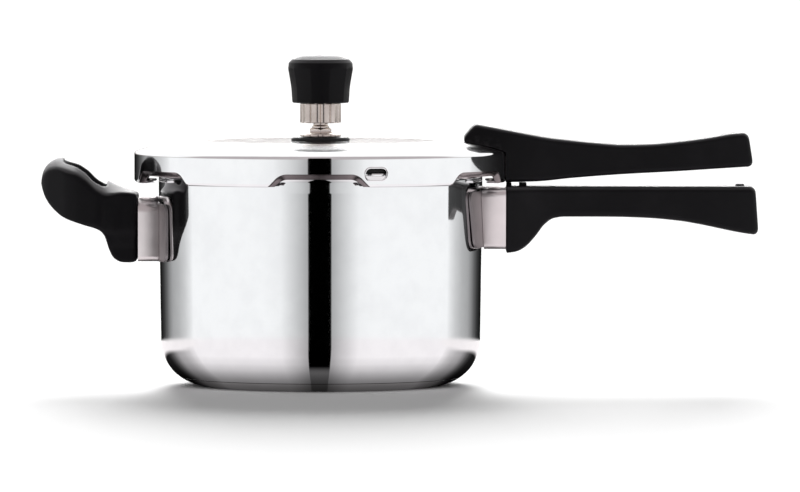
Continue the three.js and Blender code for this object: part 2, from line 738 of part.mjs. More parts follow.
function safetyPlug() {
  const head = nut(PLUG.flats, PLUG.headLow, PLUG.high, 0.5);
  const shank = bar(3.7, plugTop - 5.6, PLUG.headLow + 0.5, 24);
  const core = bar(2, plugTop - 7, PLUG.high + 1, 16);
  return head.add(shank).subtract(core);
}

add("safety_plug_washer", atPlug(ring(PLUG_HOLE, 6.6, PLUG.washerLow, PLUG.headLow - GAP, 24)), rubber);
add("safety_plug", atPlug(safetyPlug()), brass);
add("safety_plug_alloy", atPlug(bar(1.7, plugTop - 5.2, PLUG.high - 0.5, 16)), fusible);
add(
  "safety_plug_nut",
  atPlug(nut(PLUG.flats, plugTop - LID_SHEET - 3.6, plugTop - LID_SHEET - 0.6, 4)),
  brass,
);

export default cooker;
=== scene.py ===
"""Looks for a stovetop pressure cooker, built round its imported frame.

Sizes are in millimetres unless a name says otherwise, and a finished mesh is scaled to metres.
+Z is up, +X points along the long handles, and the front is at -Y.
"""

import logging
import math
from dataclasses import dataclass
from enum import Enum
from typing import Any, Callable, Sequence

import bmesh
import bpy
from mathutils import Matrix, Vector


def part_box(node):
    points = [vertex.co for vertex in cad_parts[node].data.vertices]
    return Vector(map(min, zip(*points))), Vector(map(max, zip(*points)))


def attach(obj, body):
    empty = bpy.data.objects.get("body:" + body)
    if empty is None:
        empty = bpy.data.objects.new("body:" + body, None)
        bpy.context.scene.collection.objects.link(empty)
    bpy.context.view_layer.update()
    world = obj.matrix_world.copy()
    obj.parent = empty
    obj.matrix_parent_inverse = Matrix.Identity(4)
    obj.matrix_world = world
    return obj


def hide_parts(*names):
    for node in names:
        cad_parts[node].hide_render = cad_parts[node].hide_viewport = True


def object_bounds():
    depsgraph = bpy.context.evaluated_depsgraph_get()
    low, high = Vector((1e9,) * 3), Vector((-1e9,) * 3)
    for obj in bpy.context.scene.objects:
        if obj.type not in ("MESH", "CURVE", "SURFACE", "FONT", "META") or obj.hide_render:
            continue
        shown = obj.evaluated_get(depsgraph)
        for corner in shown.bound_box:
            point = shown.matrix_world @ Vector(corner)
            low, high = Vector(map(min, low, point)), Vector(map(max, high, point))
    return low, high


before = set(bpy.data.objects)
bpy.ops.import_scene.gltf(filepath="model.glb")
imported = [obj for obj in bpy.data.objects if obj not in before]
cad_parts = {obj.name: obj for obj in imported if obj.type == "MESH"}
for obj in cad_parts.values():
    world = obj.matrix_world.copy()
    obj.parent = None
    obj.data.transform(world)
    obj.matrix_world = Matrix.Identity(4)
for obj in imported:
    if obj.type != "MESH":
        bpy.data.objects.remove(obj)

CAD_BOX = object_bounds()

MM = 0.001
TURN_STEPS = 240
GAP = 0.35
LUGS = 6
LUG_PITCH = 360 / LUGS
HEAD_CLEARANCE = 0.4
SHANK_CLEARANCE = 0.35
END_CLEARANCE = 0.3
FLOOR_LEVEL = -0.05

CLOUDS_PER_METRE = 28
SMEARS_PER_METRE = 110
BUMP_DEPTH = 0.02

Point = tuple[float, float]
Corner = tuple[float, float, float]
Colour = tuple[float, float, float]

log = logging.getLogger("cooker")


class Body(Enum):
    """The bodies that pieces ride on."""

    POT = "pot"
    SEAL = "seal"
    LID = "lid"
    WEIGHT = "weight"


class Slot(Enum):
    """The record's material slots."""

    MIRROR = "mirror_steel"
    SATIN = "satin_steel"
    NICKEL = "nickel"
    BRASS = "brass"
    ALUMINIUM = "aluminium"
    FUSIBLE = "fusible_alloy"
    BAKELITE = "bakelite"
    RUBBER = "rubber"
    FIBRE = "fibre"


class Grain(Enum):
    """Which way the fine lines of a metal run."""

    TURNED = "turned"
    UPRIGHT = "upright"
    CAST = "cast"


class Cut(Enum):
    """How one form works on another."""

    AWAY = "DIFFERENCE"
    ONTO = "UNION"
    WITHIN = "INTERSECT"


# Curves -----------------------------------------------------------------------------------------


def arc(centre: Point, radius: float, start: float, end: float, steps: int = 12) -> list[Point]:
    """Points of an arc.

    Args:
        centre: The arc's centre.
        radius: Its radius.
        start: The first angle in degrees, with 0 along the first coordinate.
        end: The last angle.
        steps: The number of chords.

    Returns:
        The points from start to end.
    """
    angles = [math.radians(start + (end - start) * i / steps) for i in range(steps + 1)]
    return [(centre[0] + radius * math.cos(a), centre[1] + radius * math.sin(a)) for a in angles]


def filleted(corners: Sequence[Corner], closed: bool = False, steps: int = 5) -> list[Point]:
    """Rounds the corners of a line.

    Args:
        corners: Each corner's two coordinates and its fillet radius.
        closed: Whether the last corner joins the first.
        steps: The number of chords in a fillet.

    Returns:
        The points of the rounded line.
    """
    points: list[Point] = []
    last = len(corners) - 1
    for i, (x, y, radius) in enumerate(corners):
        if radius <= 0 or (not closed and i in (0, last)):
            points.append((x, y))
            continue
        here = Vector((x, y))
        back = Vector(corners[i - 1][:2]) - here
        ahead = Vector(corners[(i + 1) % len(corners)][:2]) - here
        half = back.angle(ahead) / 2
        reach = min(radius / math.tan(half), 0.49 * back.length, 0.49 * ahead.length)
        rounding = reach * math.tan(half)
        back.normalize()
        ahead.normalize()
        centre = here + (back + ahead).normalized() * (rounding / math.sin(half))
        first = here + back * reach - centre
        sweep = first.angle_signed(here + ahead * reach - centre)
        for k in range(steps + 1):
            spoke = first.copy()
            spoke.rotate(Matrix.Rotation(-sweep * k / steps, 2))
            points.append((centre.x + spoke.x, centre.y + spoke.y))
    return guarded(points, closed)


def guarded(points: Sequence[Point], closed: bool, reach: float = 0.3) -> list[Point]:
    """Adds points near both ends of each long straight, which keep its shading flat.

    Args:
        points: The line's points.
        closed: Whether the last point joins the first.
        reach: How far from each end the new points stand.

    Returns:
        The line with its added points.
    """
    ends = list(points[1:]) + ([points[0]] if closed else [])
    made: list[Point] = []
    for start, end in zip(points, ends):
        made.append(start)
        length = math.dist(start, end)
        if length > 6 * reach:
            for share in (reach / length, 1 - reach / length):
                made.append(tuple(a + (b - a) * share for a, b in zip(start, end)))
    return made if closed else [*made, points[-1]]


def smooth_line(points: Sequence[Point]) -> Callable[[float], float]:
    """A smooth height as a function of distance.

    Args:
        points: Distances and heights, with the distances rising.

    Returns:
        A function that gives the height at any distance.
    """
    xs = [x for x, _ in points]
    ys = [y for _, y in points]
    slopes = [(ys[i + 1] - ys[i]) / (xs[i + 1] - xs[i]) for i in range(len(xs) - 1)]
    middles = [0.0 if a * b <= 0 else 2 * a * b / (a + b) for a, b in zip(slopes, slopes[1:])]
    tangents = [slopes[0], *middles, slopes[-1]]

    def height(x: float) -> float:
        """The height at a distance, held level past both ends."""
        if x <= xs[0]:
            return ys[0]
        if x >= xs[-1]:
            return ys[-1]
        i = max(k for k in range(len(xs) - 1) if xs[k] <= x)
        span = xs[i + 1] - xs[i]
        t = (x - xs[i]) / span
        return (
            ys[i] * (1 + 2 * t) * (1 - t) ** 2
            + ys[i + 1] * t * t * (3 - 2 * t)
            + span * tangents[i] * t * (1 - t) ** 2
            - span * tangents[i + 1] * t * t * (1 - t)
        )

    return height


def ease(value: float, low: float, high: float) -> float:
    """0 below low, 1 above high, and a smooth rise between them."""
    t = min(1.0, max(0.0, (value - low) / (high - low)))
    return t * t * (3 - 2 * t)


# Forms ------------------------------------------------------------------------------------------


class Form:
    """A closed body in millimetres, on its way to becoming a piece."""

    def __init__(self, mesh: bmesh.types.BMesh) -> None:
        """Wraps a bmesh."""
        self.mesh = mesh

    @classmethod
    def spun(cls, profile: Sequence[Point], closed: bool = False, steps: int = TURN_STEPS) -> "Form":
        """Turns a profile round the Z axis.

        Args:
            profile: Radii and heights. An open profile starts and ends on the axis.
            closed: Whether the last point joins the first, as on a ring.
            steps: The number of facets.

        Returns:
            The turned form.
        """
        mesh = bmesh.new()
        verts = [mesh.verts.new((r, 0, z)) for r, z in profile]
        pairs = list(zip(verts, verts[1:] + (verts[:1] if closed else [])))
        edges = [mesh.edges.new(pair) for pair in pairs]
        bmesh.ops.spin(
            mesh, geom=verts + edges, cent=(0, 0, 0), axis=(0, 0, 1),
            angle=math.tau, steps=steps, use_merge=True,
        )
        return cls(mesh).sealed()

    @classmethod
    def prism(cls, outline: Sequence[Point], low: float, high: float, axis: str = "Z") -> "Form":
        """Extrudes an outline.

        Args:
            outline: Points in X and Y, or in X and Z for axis Y, or in Y and Z for axis X.
            low: Where the prism starts along its axis.
            high: Where it ends.
            axis: The axis it is extruded along.

        Returns:
            The prism.
        """
        places = {
            "X": lambda a, b, c: (c, a, b),
            "Y": lambda a, b, c: (a, c, b),
            "Z": lambda a, b, c: (a, b, c),
        }
        place = places[axis]
        mesh = bmesh.new()
        face = mesh.faces.new([mesh.verts.new(place(a, b, low)) for a, b in outline])
        made = bmesh.ops.extrude_face_region(mesh, geom=[face])
        moved = [v for v in made["geom"] if isinstance(v, bmesh.types.BMVert)]
        bmesh.ops.translate(mesh, verts=moved, vec=place(0, 0, high - low))
        return cls(mesh).sealed()

    @classmethod
    def rod(cls, radius: float, low: float, high: float, rounding: float = 0.4, steps: int = 64) -> "Form":
        """A round bar along Z with rounded ends.

        Args:
            radius: The bar's radius.
            low: Its lower end.
            high: Its upper end.
            rounding: The radius of its rounded edges.
            steps: The number of facets round it.

        Returns:
            The bar.
        """
        corners = [(0, low, 0), (radius, low, rounding), (radius, high, rounding), (0, high, 0)]
        return cls.spun(filleted(corners, steps=3), steps=steps)

    @classmethod
    def lofted(cls, loops: Sequence[Sequence[Vector]]) -> "Form":
        """Joins closed loops into one body with its ends filled.

        Args:
            loops: Closed loops of points, all with the same count.

        Returns:
            The body.
        """
        mesh = bmesh.new()
        rings = []
        for loop in loops:
            verts = [mesh.verts.new(point) for point in loop]
            rings.append([mesh.edges.new(pair) for pair in zip(verts, verts[1:] + verts[:1])])
        for near, far in zip(rings, rings[1:]):
            bmesh.ops.bridge_loops(mesh, edges=near + far)
        for ring in (rings[0], rings[-1]):
            bmesh.ops.contextual_create(mesh, geom=ring)
        return cls(mesh).sealed()

    @classmethod
    def sheet(cls, rows: Sequence[Sequence[Vector]], thickness: float, closed: bool = False) -> "Form":
        """Joins rows of points, open or closed, into a sheet and gives it a thickness.

        Args:
            rows: Rows of points, all with the same count.
            thickness: The sheet's thickness.
            closed: Whether each row closes on itself.

        Returns:
            The sheet.
        """
        mesh = bmesh.new()
        lines = []
        for row in rows:
            verts = [mesh.verts.new(point) for point in row]
            ends = verts[:1] if closed else []
            lines.append([mesh.edges.new(pair) for pair in zip(verts, verts[1:] + ends)])
        for near, far in zip(lines, lines[1:]):
            bmesh.ops.bridge_loops(mesh, edges=near + far)
        form = cls(mesh).sealed()
        bmesh.ops.solidify(mesh, geom=mesh.faces[:], thickness=thickness)
        return form.sealed()

    def sealed(self) -> "Form":
        """Merges doubled points and turns every face outwards."""
        bmesh.ops.remove_doubles(self.mesh, verts=self.mesh.verts, dist=1e-4)
        bmesh.ops.recalc_face_normals(self.mesh, faces=self.mesh.faces)
        return self

    def moved(self, x: float = 0, y: float = 0, z: float = 0) -> "Form":
        """Shifts the form."""
        bmesh.ops.translate(self.mesh, verts=self.mesh.verts, vec=(x, y, z))
        return self

    def turned(self, degrees: float, axis: str = "Z") -> "Form":
        """Turns the form about an axis through the origin.

        Args:
            degrees: The angle.
            axis: The axis's letter.

        Returns:
            The form itself, changed.
        """
        turn = Matrix.Rotation(math.radians(degrees), 3, axis)
        bmesh.ops.rotate(self.mesh, verts=self.mesh.verts, matrix=turn)
        return self

    def shaped(self, place: Callable[[Vector], Vector]) -> "Form":
        """Moves each point to where a function puts it.

        Args:
            place: Gives a point's new place.

        Returns:
            The form itself, changed.
        """
        for vert in self.mesh.verts:
            vert.co = place(vert.co)
        return self

    def repeated(self, count: int) -> "Form":
        """Copies the form round the Z axis.

        Args:
            count: The number of copies, with the first.

        Returns:
            The form itself, changed.
        """
        first = self.mesh.verts[:] + self.mesh.edges[:] + self.mesh.faces[:]
        for i in range(1, count):
            made = bmesh.ops.duplicate(self.mesh, geom=first)
            verts = [v for v in made["geom"] if isinstance(v, bmesh.types.BMVert)]
            bmesh.ops.rotate(self.mesh, verts=verts, matrix=Matrix.Rotation(math.tau * i / count, 3, "Z"))
        return self

    def softened(self, width: float, segments: int = 2, angle: float = 35) -> "Form":
        """Bevels every edge sharper than an angle in degrees.

        Args:
            width: The bevel's width.
            segments: Its number of facets.
            angle: The angle.

        Returns:
            The form itself, changed.
        """
        limit = math.radians(angle)
        sharp = [e for e in self.mesh.edges if e.is_manifold and e.calc_face_angle() > limit]
        bmesh.ops.bevel(
            self.mesh, geom=sharp, offset=width, offset_type="OFFSET", affect="EDGES",
            segments=segments, profile=0.5, material=-1, clamp_overlap=True,
        )
        return self

    def relaxed(self, rounds: int) -> "Form":
        """Smooths the surface, which rounds its edges.

        Args:
            rounds: How many times it is smoothed.

        Returns:
            The form itself, changed.
        """
        for _ in range(rounds):
            bmesh.ops.smooth_vert(
                self.mesh, verts=self.mesh.verts, factor=0.5,
                use_axis_x=True, use_axis_y=True, use_axis_z=True,
            )
        return self

    def worked(self, other: "Form", cut: Cut) -> "Form":
        """Cuts, joins or limits this form with another, which is used up.

        Args:
            other: The form to work with.
            cut: What is done with it.

        Returns:
            The form itself, changed.
        """
        target, tool = self._object("target"), other._object("tool")
        step = target.modifiers.new("work", "BOOLEAN")
        step.operation = cut.value
        step.solver = "EXACT"
        step.object = tool
        return self._taken_from(target, tool)

    def remeshed(self, size: float) -> "Form":
        """Rebuilds the surface from small even facets.

        Args:
            size: The facets' size.

        Returns:
            The form itself, changed.
        """
        target = self._object("target")
        step = target.modifiers.new("remesh", "REMESH")
        step.mode = "VOXEL"
        step.voxel_size = size
        return self._taken_from(target)

    def _object(self, name: str) -> bpy.types.Object:
        """A scratch object that holds the form.

        Args:
            name: The object's name.

        Returns:
            The object.
        """
        data = bpy.data.meshes.new(name)
        self.mesh.to_mesh(data)
        made = bpy.data.objects.new(name, data)
        bpy.context.scene.collection.objects.link(made)
        return made

    def _taken_from(self, target: bpy.types.Object, *others: bpy.types.Object) -> "Form":
        """Reads a scratch object back with its modifiers applied, and removes the scratch objects.

        Args:
            target: The object to read.
            others: Further objects to remove.

        Returns:
            The form itself, changed.
        """
        evaluated = target.evaluated_get(bpy.context.evaluated_depsgraph_get())
        self.mesh.clear()
        self.mesh.from_mesh(evaluated.to_mesh())
        evaluated.to_mesh_clear()
        for used in (target, *others):
            data = used.data
            bpy.data.objects.remove(used)
            bpy.data.meshes.remove(data)
        return self

    def piece(
        self, name: str, body: Body, finish: "Finish", nodes: Sequence[str] = (), sharp: float = 32,
    ) -> bpy.types.Object:
        """Makes the form a finished piece.

        Args:
            name: The piece's name.
            body: The body it rides on.
            finish: Its finish.
            nodes: The CAD nodes it stands for.
            sharp: Edges that turn more than this many degrees stay crisp.

        Returns:
            The piece.
        """
        bmesh.ops.scale(self.mesh, verts=self.mesh.verts, vec=(MM, MM, MM))
        data = bpy.data.meshes.new(name)
        self.mesh.to_mesh(data)
        self.mesh.free()
        data.shade_smooth()
        data.set_sharp_from_angle(angle=math.radians(sharp))
        data.materials.append(finish.material)
        made = bpy.data.objects.new(name, data)
        bpy.context.scene.collection.objects.link(made)
        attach(made, body.value)
        if nodes:
            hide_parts(*nodes)
        triangles = sum(len(p.vertices) - 2 for p in data.polygons)
        log.info("%s: %d triangles on %s", name, triangles, body.value)
        return made


# Shaders ----------------------------------------------------------------------------------------


class Signal:
    """A number that varies over a surface, on which Python's operators add Math nodes."""

    def __init__(self, recipe: "Recipe", socket: bpy.types.NodeSocket) -> None:
        """Wraps a socket of a recipe."""
        self.recipe = recipe
        self.socket = socket

    def __add__(self, other: "Signal | float") -> "Signal":
        """The sum."""
        return self.recipe.math("ADD", self, other)

    __radd__ = __add__

    def __sub__(self, other: "Signal | float") -> "Signal":
        """The difference."""
        return self.recipe.math("SUBTRACT", self, other)

    def __rsub__(self, other: float) -> "Signal":
        """The difference from a number."""
        return self.recipe.math("SUBTRACT", other, self)

    def __mul__(self, other: "Signal | float") -> "Signal":
        """The product."""
        return self.recipe.math("MULTIPLY", self, other)

    __rmul__ = __mul__

    def __pow__(self, other: float) -> "Signal":
        """The power."""
        return self.recipe.math("POWER", self, other)

    def mask(self, low: float, high: float) -> "Signal":
        """0 at low and 1 at high, held past both.

        Args:
            low: Where it is 0.
            high: Where it is 1.

        Returns:
            The mask.
        """
        made = self.recipe.node(
            "ShaderNodeMapRange",
            {"interpolation_type": "SMOOTHSTEP"},
            {"Value": self, "From Min": low, "From Max": high},
        )
        return Signal(self.recipe, made.outputs["Result"])


class Recipe:
    """A material being written."""

    def __init__(self, name: str) -> None:
        """Starts a material with a Principled shader."""
        self.material = bpy.data.materials.new(name)
        self.material.use_nodes = True
        self.tree = self.material.node_tree
        self.shader = self.tree.nodes["Principled BSDF"]
        self.place = self.node("ShaderNodeTexCoord").outputs["Object"]

    def node(
        self, kind: str, settings: dict[str, Any] | None = None, inputs: dict[Any, Any] | None = None,
    ) -> bpy.types.Node:
        """Adds a node.

        Args:
            kind: The node's type.
            settings: Its settings, with stops for the positions and colours of a ramp.
            inputs: Values or links by socket name or number.

        Returns:
            The node.
        """
        made = self.tree.nodes.new(kind)
        for key, value in (settings or {}).items():
            if key == "stops":
                self._fill(made.color_ramp, value)
            else:
                setattr(made, key, value)
        for key, value in (inputs or {}).items():
            self.feed(made.inputs[key], value)
        return made

    def _fill(self, ramp: bpy.types.ColorRamp, stops: Sequence[tuple[float, Colour]]) -> None:
        """Gives a ramp its stops.

        Args:
            ramp: The ramp.
            stops: Each stop's position and colour.
        """
        while len(ramp.elements) < len(stops):
            ramp.elements.new(0.5)
        for element, (position, colour) in zip(ramp.elements, stops):
            element.position = position
            element.color = (*colour, 1)

    def feed(self, socket: bpy.types.NodeSocket, value: Any) -> None:
        """Links or sets a socket.

        Args:
            socket: The socket.
            value: A signal, another socket or a plain value.
        """
        value = value.socket if isinstance(value, Signal) else value
        if isinstance(value, bpy.types.NodeSocket):
            self.tree.links.new(value, socket)
        else:
            socket.default_value = value

    def dress(self, **values: Any) -> None:
        """Sets the shader's own sockets, with Base_Color for Base Color and so on."""
        for key, value in values.items():
            self.feed(self.shader.inputs[key.replace("_", " ")], value)

    def math(self, operation: str, *values: Signal | float) -> Signal:
        """Adds a Math node."""
        made = self.node("ShaderNodeMath", {"operation": operation}, dict(enumerate(values)))
        return Signal(self, made.outputs[0])

    def axes(self) -> list[Signal]:
        """The X, Y and Z of the surface point, in metres."""
        made = self.node("ShaderNodeSeparateXYZ", inputs={0: self.place})
        return [Signal(self, socket) for socket in made.outputs]

    def upward(self) -> Signal:
        """How far the surface faces up, from -1 to 1."""
        facing = self.node("ShaderNodeNewGeometry").outputs["Normal"]
        return Signal(self, self.node("ShaderNodeSeparateXYZ", inputs={0: facing}).outputs[2])

    def noise(self, scale: float, detail: float = 2, place: Any = None) -> Signal:
        """Soft noise from 0 to 1, with scale in features per metre."""
        inputs = {"Vector": place or self.place, "Scale": scale, "Detail": detail}
        return Signal(self, self.node("ShaderNodeTexNoise", inputs=inputs).outputs[0])

    def vector(self, *parts: Signal | float) -> bpy.types.NodeSocket:
        """A vector of three signals."""
        return self.node("ShaderNodeCombineXYZ", inputs=dict(enumerate(parts))).outputs[0]

    def blend(self, factor: Signal, first: Any, second: Any) -> bpy.types.NodeSocket:
        """A colour between two, each a colour or a link.

        Args:
            factor: 0 for the first and 1 for the second.
            first: The first colour.
            second: The second colour.

        Returns:
            The colour's socket.
        """
        ends = [(*end, 1) if isinstance(end, tuple) else end for end in (first, second)]
        inputs = {0: factor, 6: ends[0], 7: ends[1]}
        return self.node("ShaderNodeMix", {"data_type": "RGBA"}, inputs).outputs[2]

    def tinted(self, first: Any, second: Any) -> bpy.types.NodeSocket:
        """The product of two colours."""
        inputs = {0: 1.0, 6: first, 7: second}
        return self.node("ShaderNodeMix", {"data_type": "RGBA", "blend_type": "MULTIPLY"}, inputs).outputs[2]

    def bump(self, height: Signal, strength: float, depth_mm: float) -> bpy.types.NodeSocket:
        """A bump for the shader's Normal."""
        inputs = {"Height": height, "Strength": strength, "Distance": depth_mm * MM}
        return self.node("ShaderNodeBump", inputs=inputs).outputs[0]


class Finish:
    """A material and the record's slot that it stands for."""

    def __init__(self, slot: Slot, material: bpy.types.Material) -> None:
        """Keeps both."""
        self.slot = slot
        self.material = material


@dataclass(frozen=True)
class Metal:
    """A bare metal: its light and dark tones, its polish and its fine lines."""

    name: str
    slot: Slot
    light: Colour
    dark: Colour
    roughness: float
    spread: float
    grain: Grain
    relief: float
    lines_per_metre: float = 1500
    top_roughness: float | None = None
    ring_roughness: float = 0.17

    def made(self) -> Finish:
        """Writes the material."""
        recipe = Recipe(self.name)
        x, y, z = recipe.axes()
        if self.grain is Grain.TURNED:
            along = z + (x * x + y * y) ** 0.5
            place = recipe.vector(x * 0.02, y * 0.02, along)
        elif self.grain is Grain.UPRIGHT:
            place = recipe.vector(x, y, z * 0.03)
        else:
            place = recipe.place
        lines = recipe.noise(self.lines_per_metre, 3, place)
        cloud = recipe.noise(CLOUDS_PER_METRE, 3)
        smear = recipe.noise(SMEARS_PER_METRE, 4)
        tone = (cloud * 0.6 + smear * 0.4).mask(0.35, 0.65)
        polish = (lines + smear - 1) * self.spread + self.roughness
        if self.top_roughness is not None:
            away = (x * x + y * y) ** 0.5
            brushed = away.mask(0.066, 0.072) * (1 - away.mask(0.09, 0.099)) * self.ring_roughness
            top = recipe.upward().mask(0.7, 0.86)
            polish = polish + top * (brushed + (self.top_roughness - self.roughness))
        recipe.dress(
            Metallic=1.0,
            Base_Color=recipe.blend(tone, self.dark, self.light),
            Roughness=polish,
            Normal=recipe.bump(lines, self.relief, BUMP_DEPTH),
        )
        return Finish(self.slot, recipe.material)


@dataclass(frozen=True)
class Moulded:
    """A moulded plastic or rubber: its tones, its sheen, its skin, and a painted lighter shade on its upward
    faces.
    """

    name: str
    slot: Slot
    dark: Colour
    wear_and_top_light: Colour
    roughness: float
    specular: float
    grain_per_metre: float
    relief: float
    # Strength of the painted top light that lightens upward faces.
    painted_top_light: float = 0.0

    def made(self) -> Finish:
        """Writes the material."""
        recipe = Recipe(self.name)
        skin = recipe.noise(self.grain_per_metre, 3)
        cloud = recipe.noise(45, 3)
        edge = Signal(recipe, recipe.node("ShaderNodeNewGeometry").outputs["Pointiness"])
        wear = edge.mask(0.52, 0.6) * recipe.noise(420, 2).mask(0.35, 0.75)
        tone = wear * 0.8 + (cloud - 0.5) * 0.15
        # Painted top light: upward faces are blended towards the lighter tone, as if lit from above, with a
        # cloudy spread.
        painted_top_light = recipe.upward().mask(0.25, 0.95) * self.painted_top_light * (0.7 + cloud * 0.6)
        painted_top_tone = recipe.blend(painted_top_light, self.dark, self.wear_and_top_light)
        recipe.dress(
            Base_Color=recipe.blend(tone, painted_top_tone, self.wear_and_top_light),
            Roughness=self.roughness + (cloud - 0.5) * 0.14 + (skin - 0.5) * 0.1,
            Specular_IOR_Level=self.specular,
            Normal=recipe.bump(skin, self.relief, 0.08),
        )
        return Finish(self.slot, recipe.material)


class Finishes:
    """Every finish of the cooker."""

    def __init__(self) -> None:
        """Writes the materials."""
        self.mirror = Metal(
            "mirror polished steel", Slot.MIRROR, (0.84, 0.845, 0.85), (0.8, 0.803, 0.81),
            0.045, 0.02, Grain.TURNED, 0.012,
        ).made()
        self.lid = Metal(
            "lid steel", Slot.MIRROR, (0.85, 0.853, 0.857), (0.81, 0.813, 0.82),
            0.045, 0.02, Grain.TURNED, 0.012, 1500, 0.075,
        ).made()
        self.base = Metal(
            "turned base steel", Slot.SATIN, (0.76, 0.75, 0.75), (0.7, 0.69, 0.69),
            0.13, 0.06, Grain.TURNED, 0.12, 2200,
        ).made()
        self.satin = Metal(
            "satin steel", Slot.SATIN, (0.76, 0.71, 0.71), (0.68, 0.635, 0.635),
            0.33, 0.08, Grain.UPRIGHT, 0.1, 2600,
        ).made()
        # Painted shade: the arch edges' steel is given a dark tone that stands in for the dark reflection
        # along the rolled edge.
        self.edge = Metal(
            "arch edge steel painted dark", Slot.SATIN, (0.27, 0.235, 0.24), (0.18, 0.155, 0.16),
            0.22, 0.1, Grain.CAST, 0.12,
        ).made()
        # Painted shade: the saddles' steel is darkened to stand in for the dark cards it reflects.
        self.saddle_painted_dark = Metal(
            "saddle steel painted dark", Slot.SATIN, (0.36, 0.335, 0.34), (0.3, 0.275, 0.28),
            0.46, 0.08, Grain.UPRIGHT, 0.08, 2600,
        ).made()
        self.nickel = Metal(
            "nickel plate", Slot.NICKEL, (0.8, 0.74, 0.69), (0.66, 0.6, 0.55),
            0.17, 0.06, Grain.TURNED, 0.06, 2400,
        ).made()
        self.brass = Metal(
            "brass", Slot.BRASS, (0.83, 0.64, 0.32), (0.66, 0.48, 0.22),
            0.26, 0.12, Grain.TURNED, 0.1,
        ).made()
        self.aluminium = Metal(
            "cast aluminium", Slot.ALUMINIUM, (0.8, 0.81, 0.82), (0.7, 0.71, 0.72),
            0.42, 0.12, Grain.CAST, 0.3, 900,
        ).made()
        self.fusible = Metal(
            "fusible alloy", Slot.FUSIBLE, (0.6, 0.6, 0.6), (0.45, 0.45, 0.46),
            0.5, 0.15, Grain.CAST, 0.4, 1600,
        ).made()
        # The bakelite's last number paints its upward faces lighter, a painted top light.
        self.bakelite = Moulded(
            "black bakelite", Slot.BAKELITE, (0.003, 0.0026, 0.0038), (0.075, 0.07, 0.075),
            0.42, 0.12, 2600, 0.12, 0.9,
        ).made()
        self.rubber = Moulded(
            "black rubber", Slot.RUBBER, (0.006, 0.006, 0.007), (0.02, 0.02, 0.021),
            0.62, 0.3, 3200, 0.25,
        ).made()
        self.fibre = Moulded(
            "red fibre", Slot.FIBRE, (0.16, 0.05, 0.03), (0.26, 0.11, 0.07),
            0.75, 0.3, 4200, 0.5,
        ).made()

    def dress_node(self, name: str, finish: Finish) -> None:
        """Gives a carried-over CAD node its finish.

        Args:
            name: The node's name.
            finish: Its finish.
        """
        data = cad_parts[name].data
        data.materials.clear()
        data.materials.append(finish.material)
        data.shade_smooth()
        data.set_sharp_from_angle(angle=math.radians(30))


# Sub-assemblies ---------------------------------------------------------------------------------


def box_mm(node: str) -> tuple[Vector, Vector]:
    """A CAD node's lowest and highest corners in millimetres."""
    low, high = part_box(node)
    return Vector(low) / MM, Vector(high) / MM


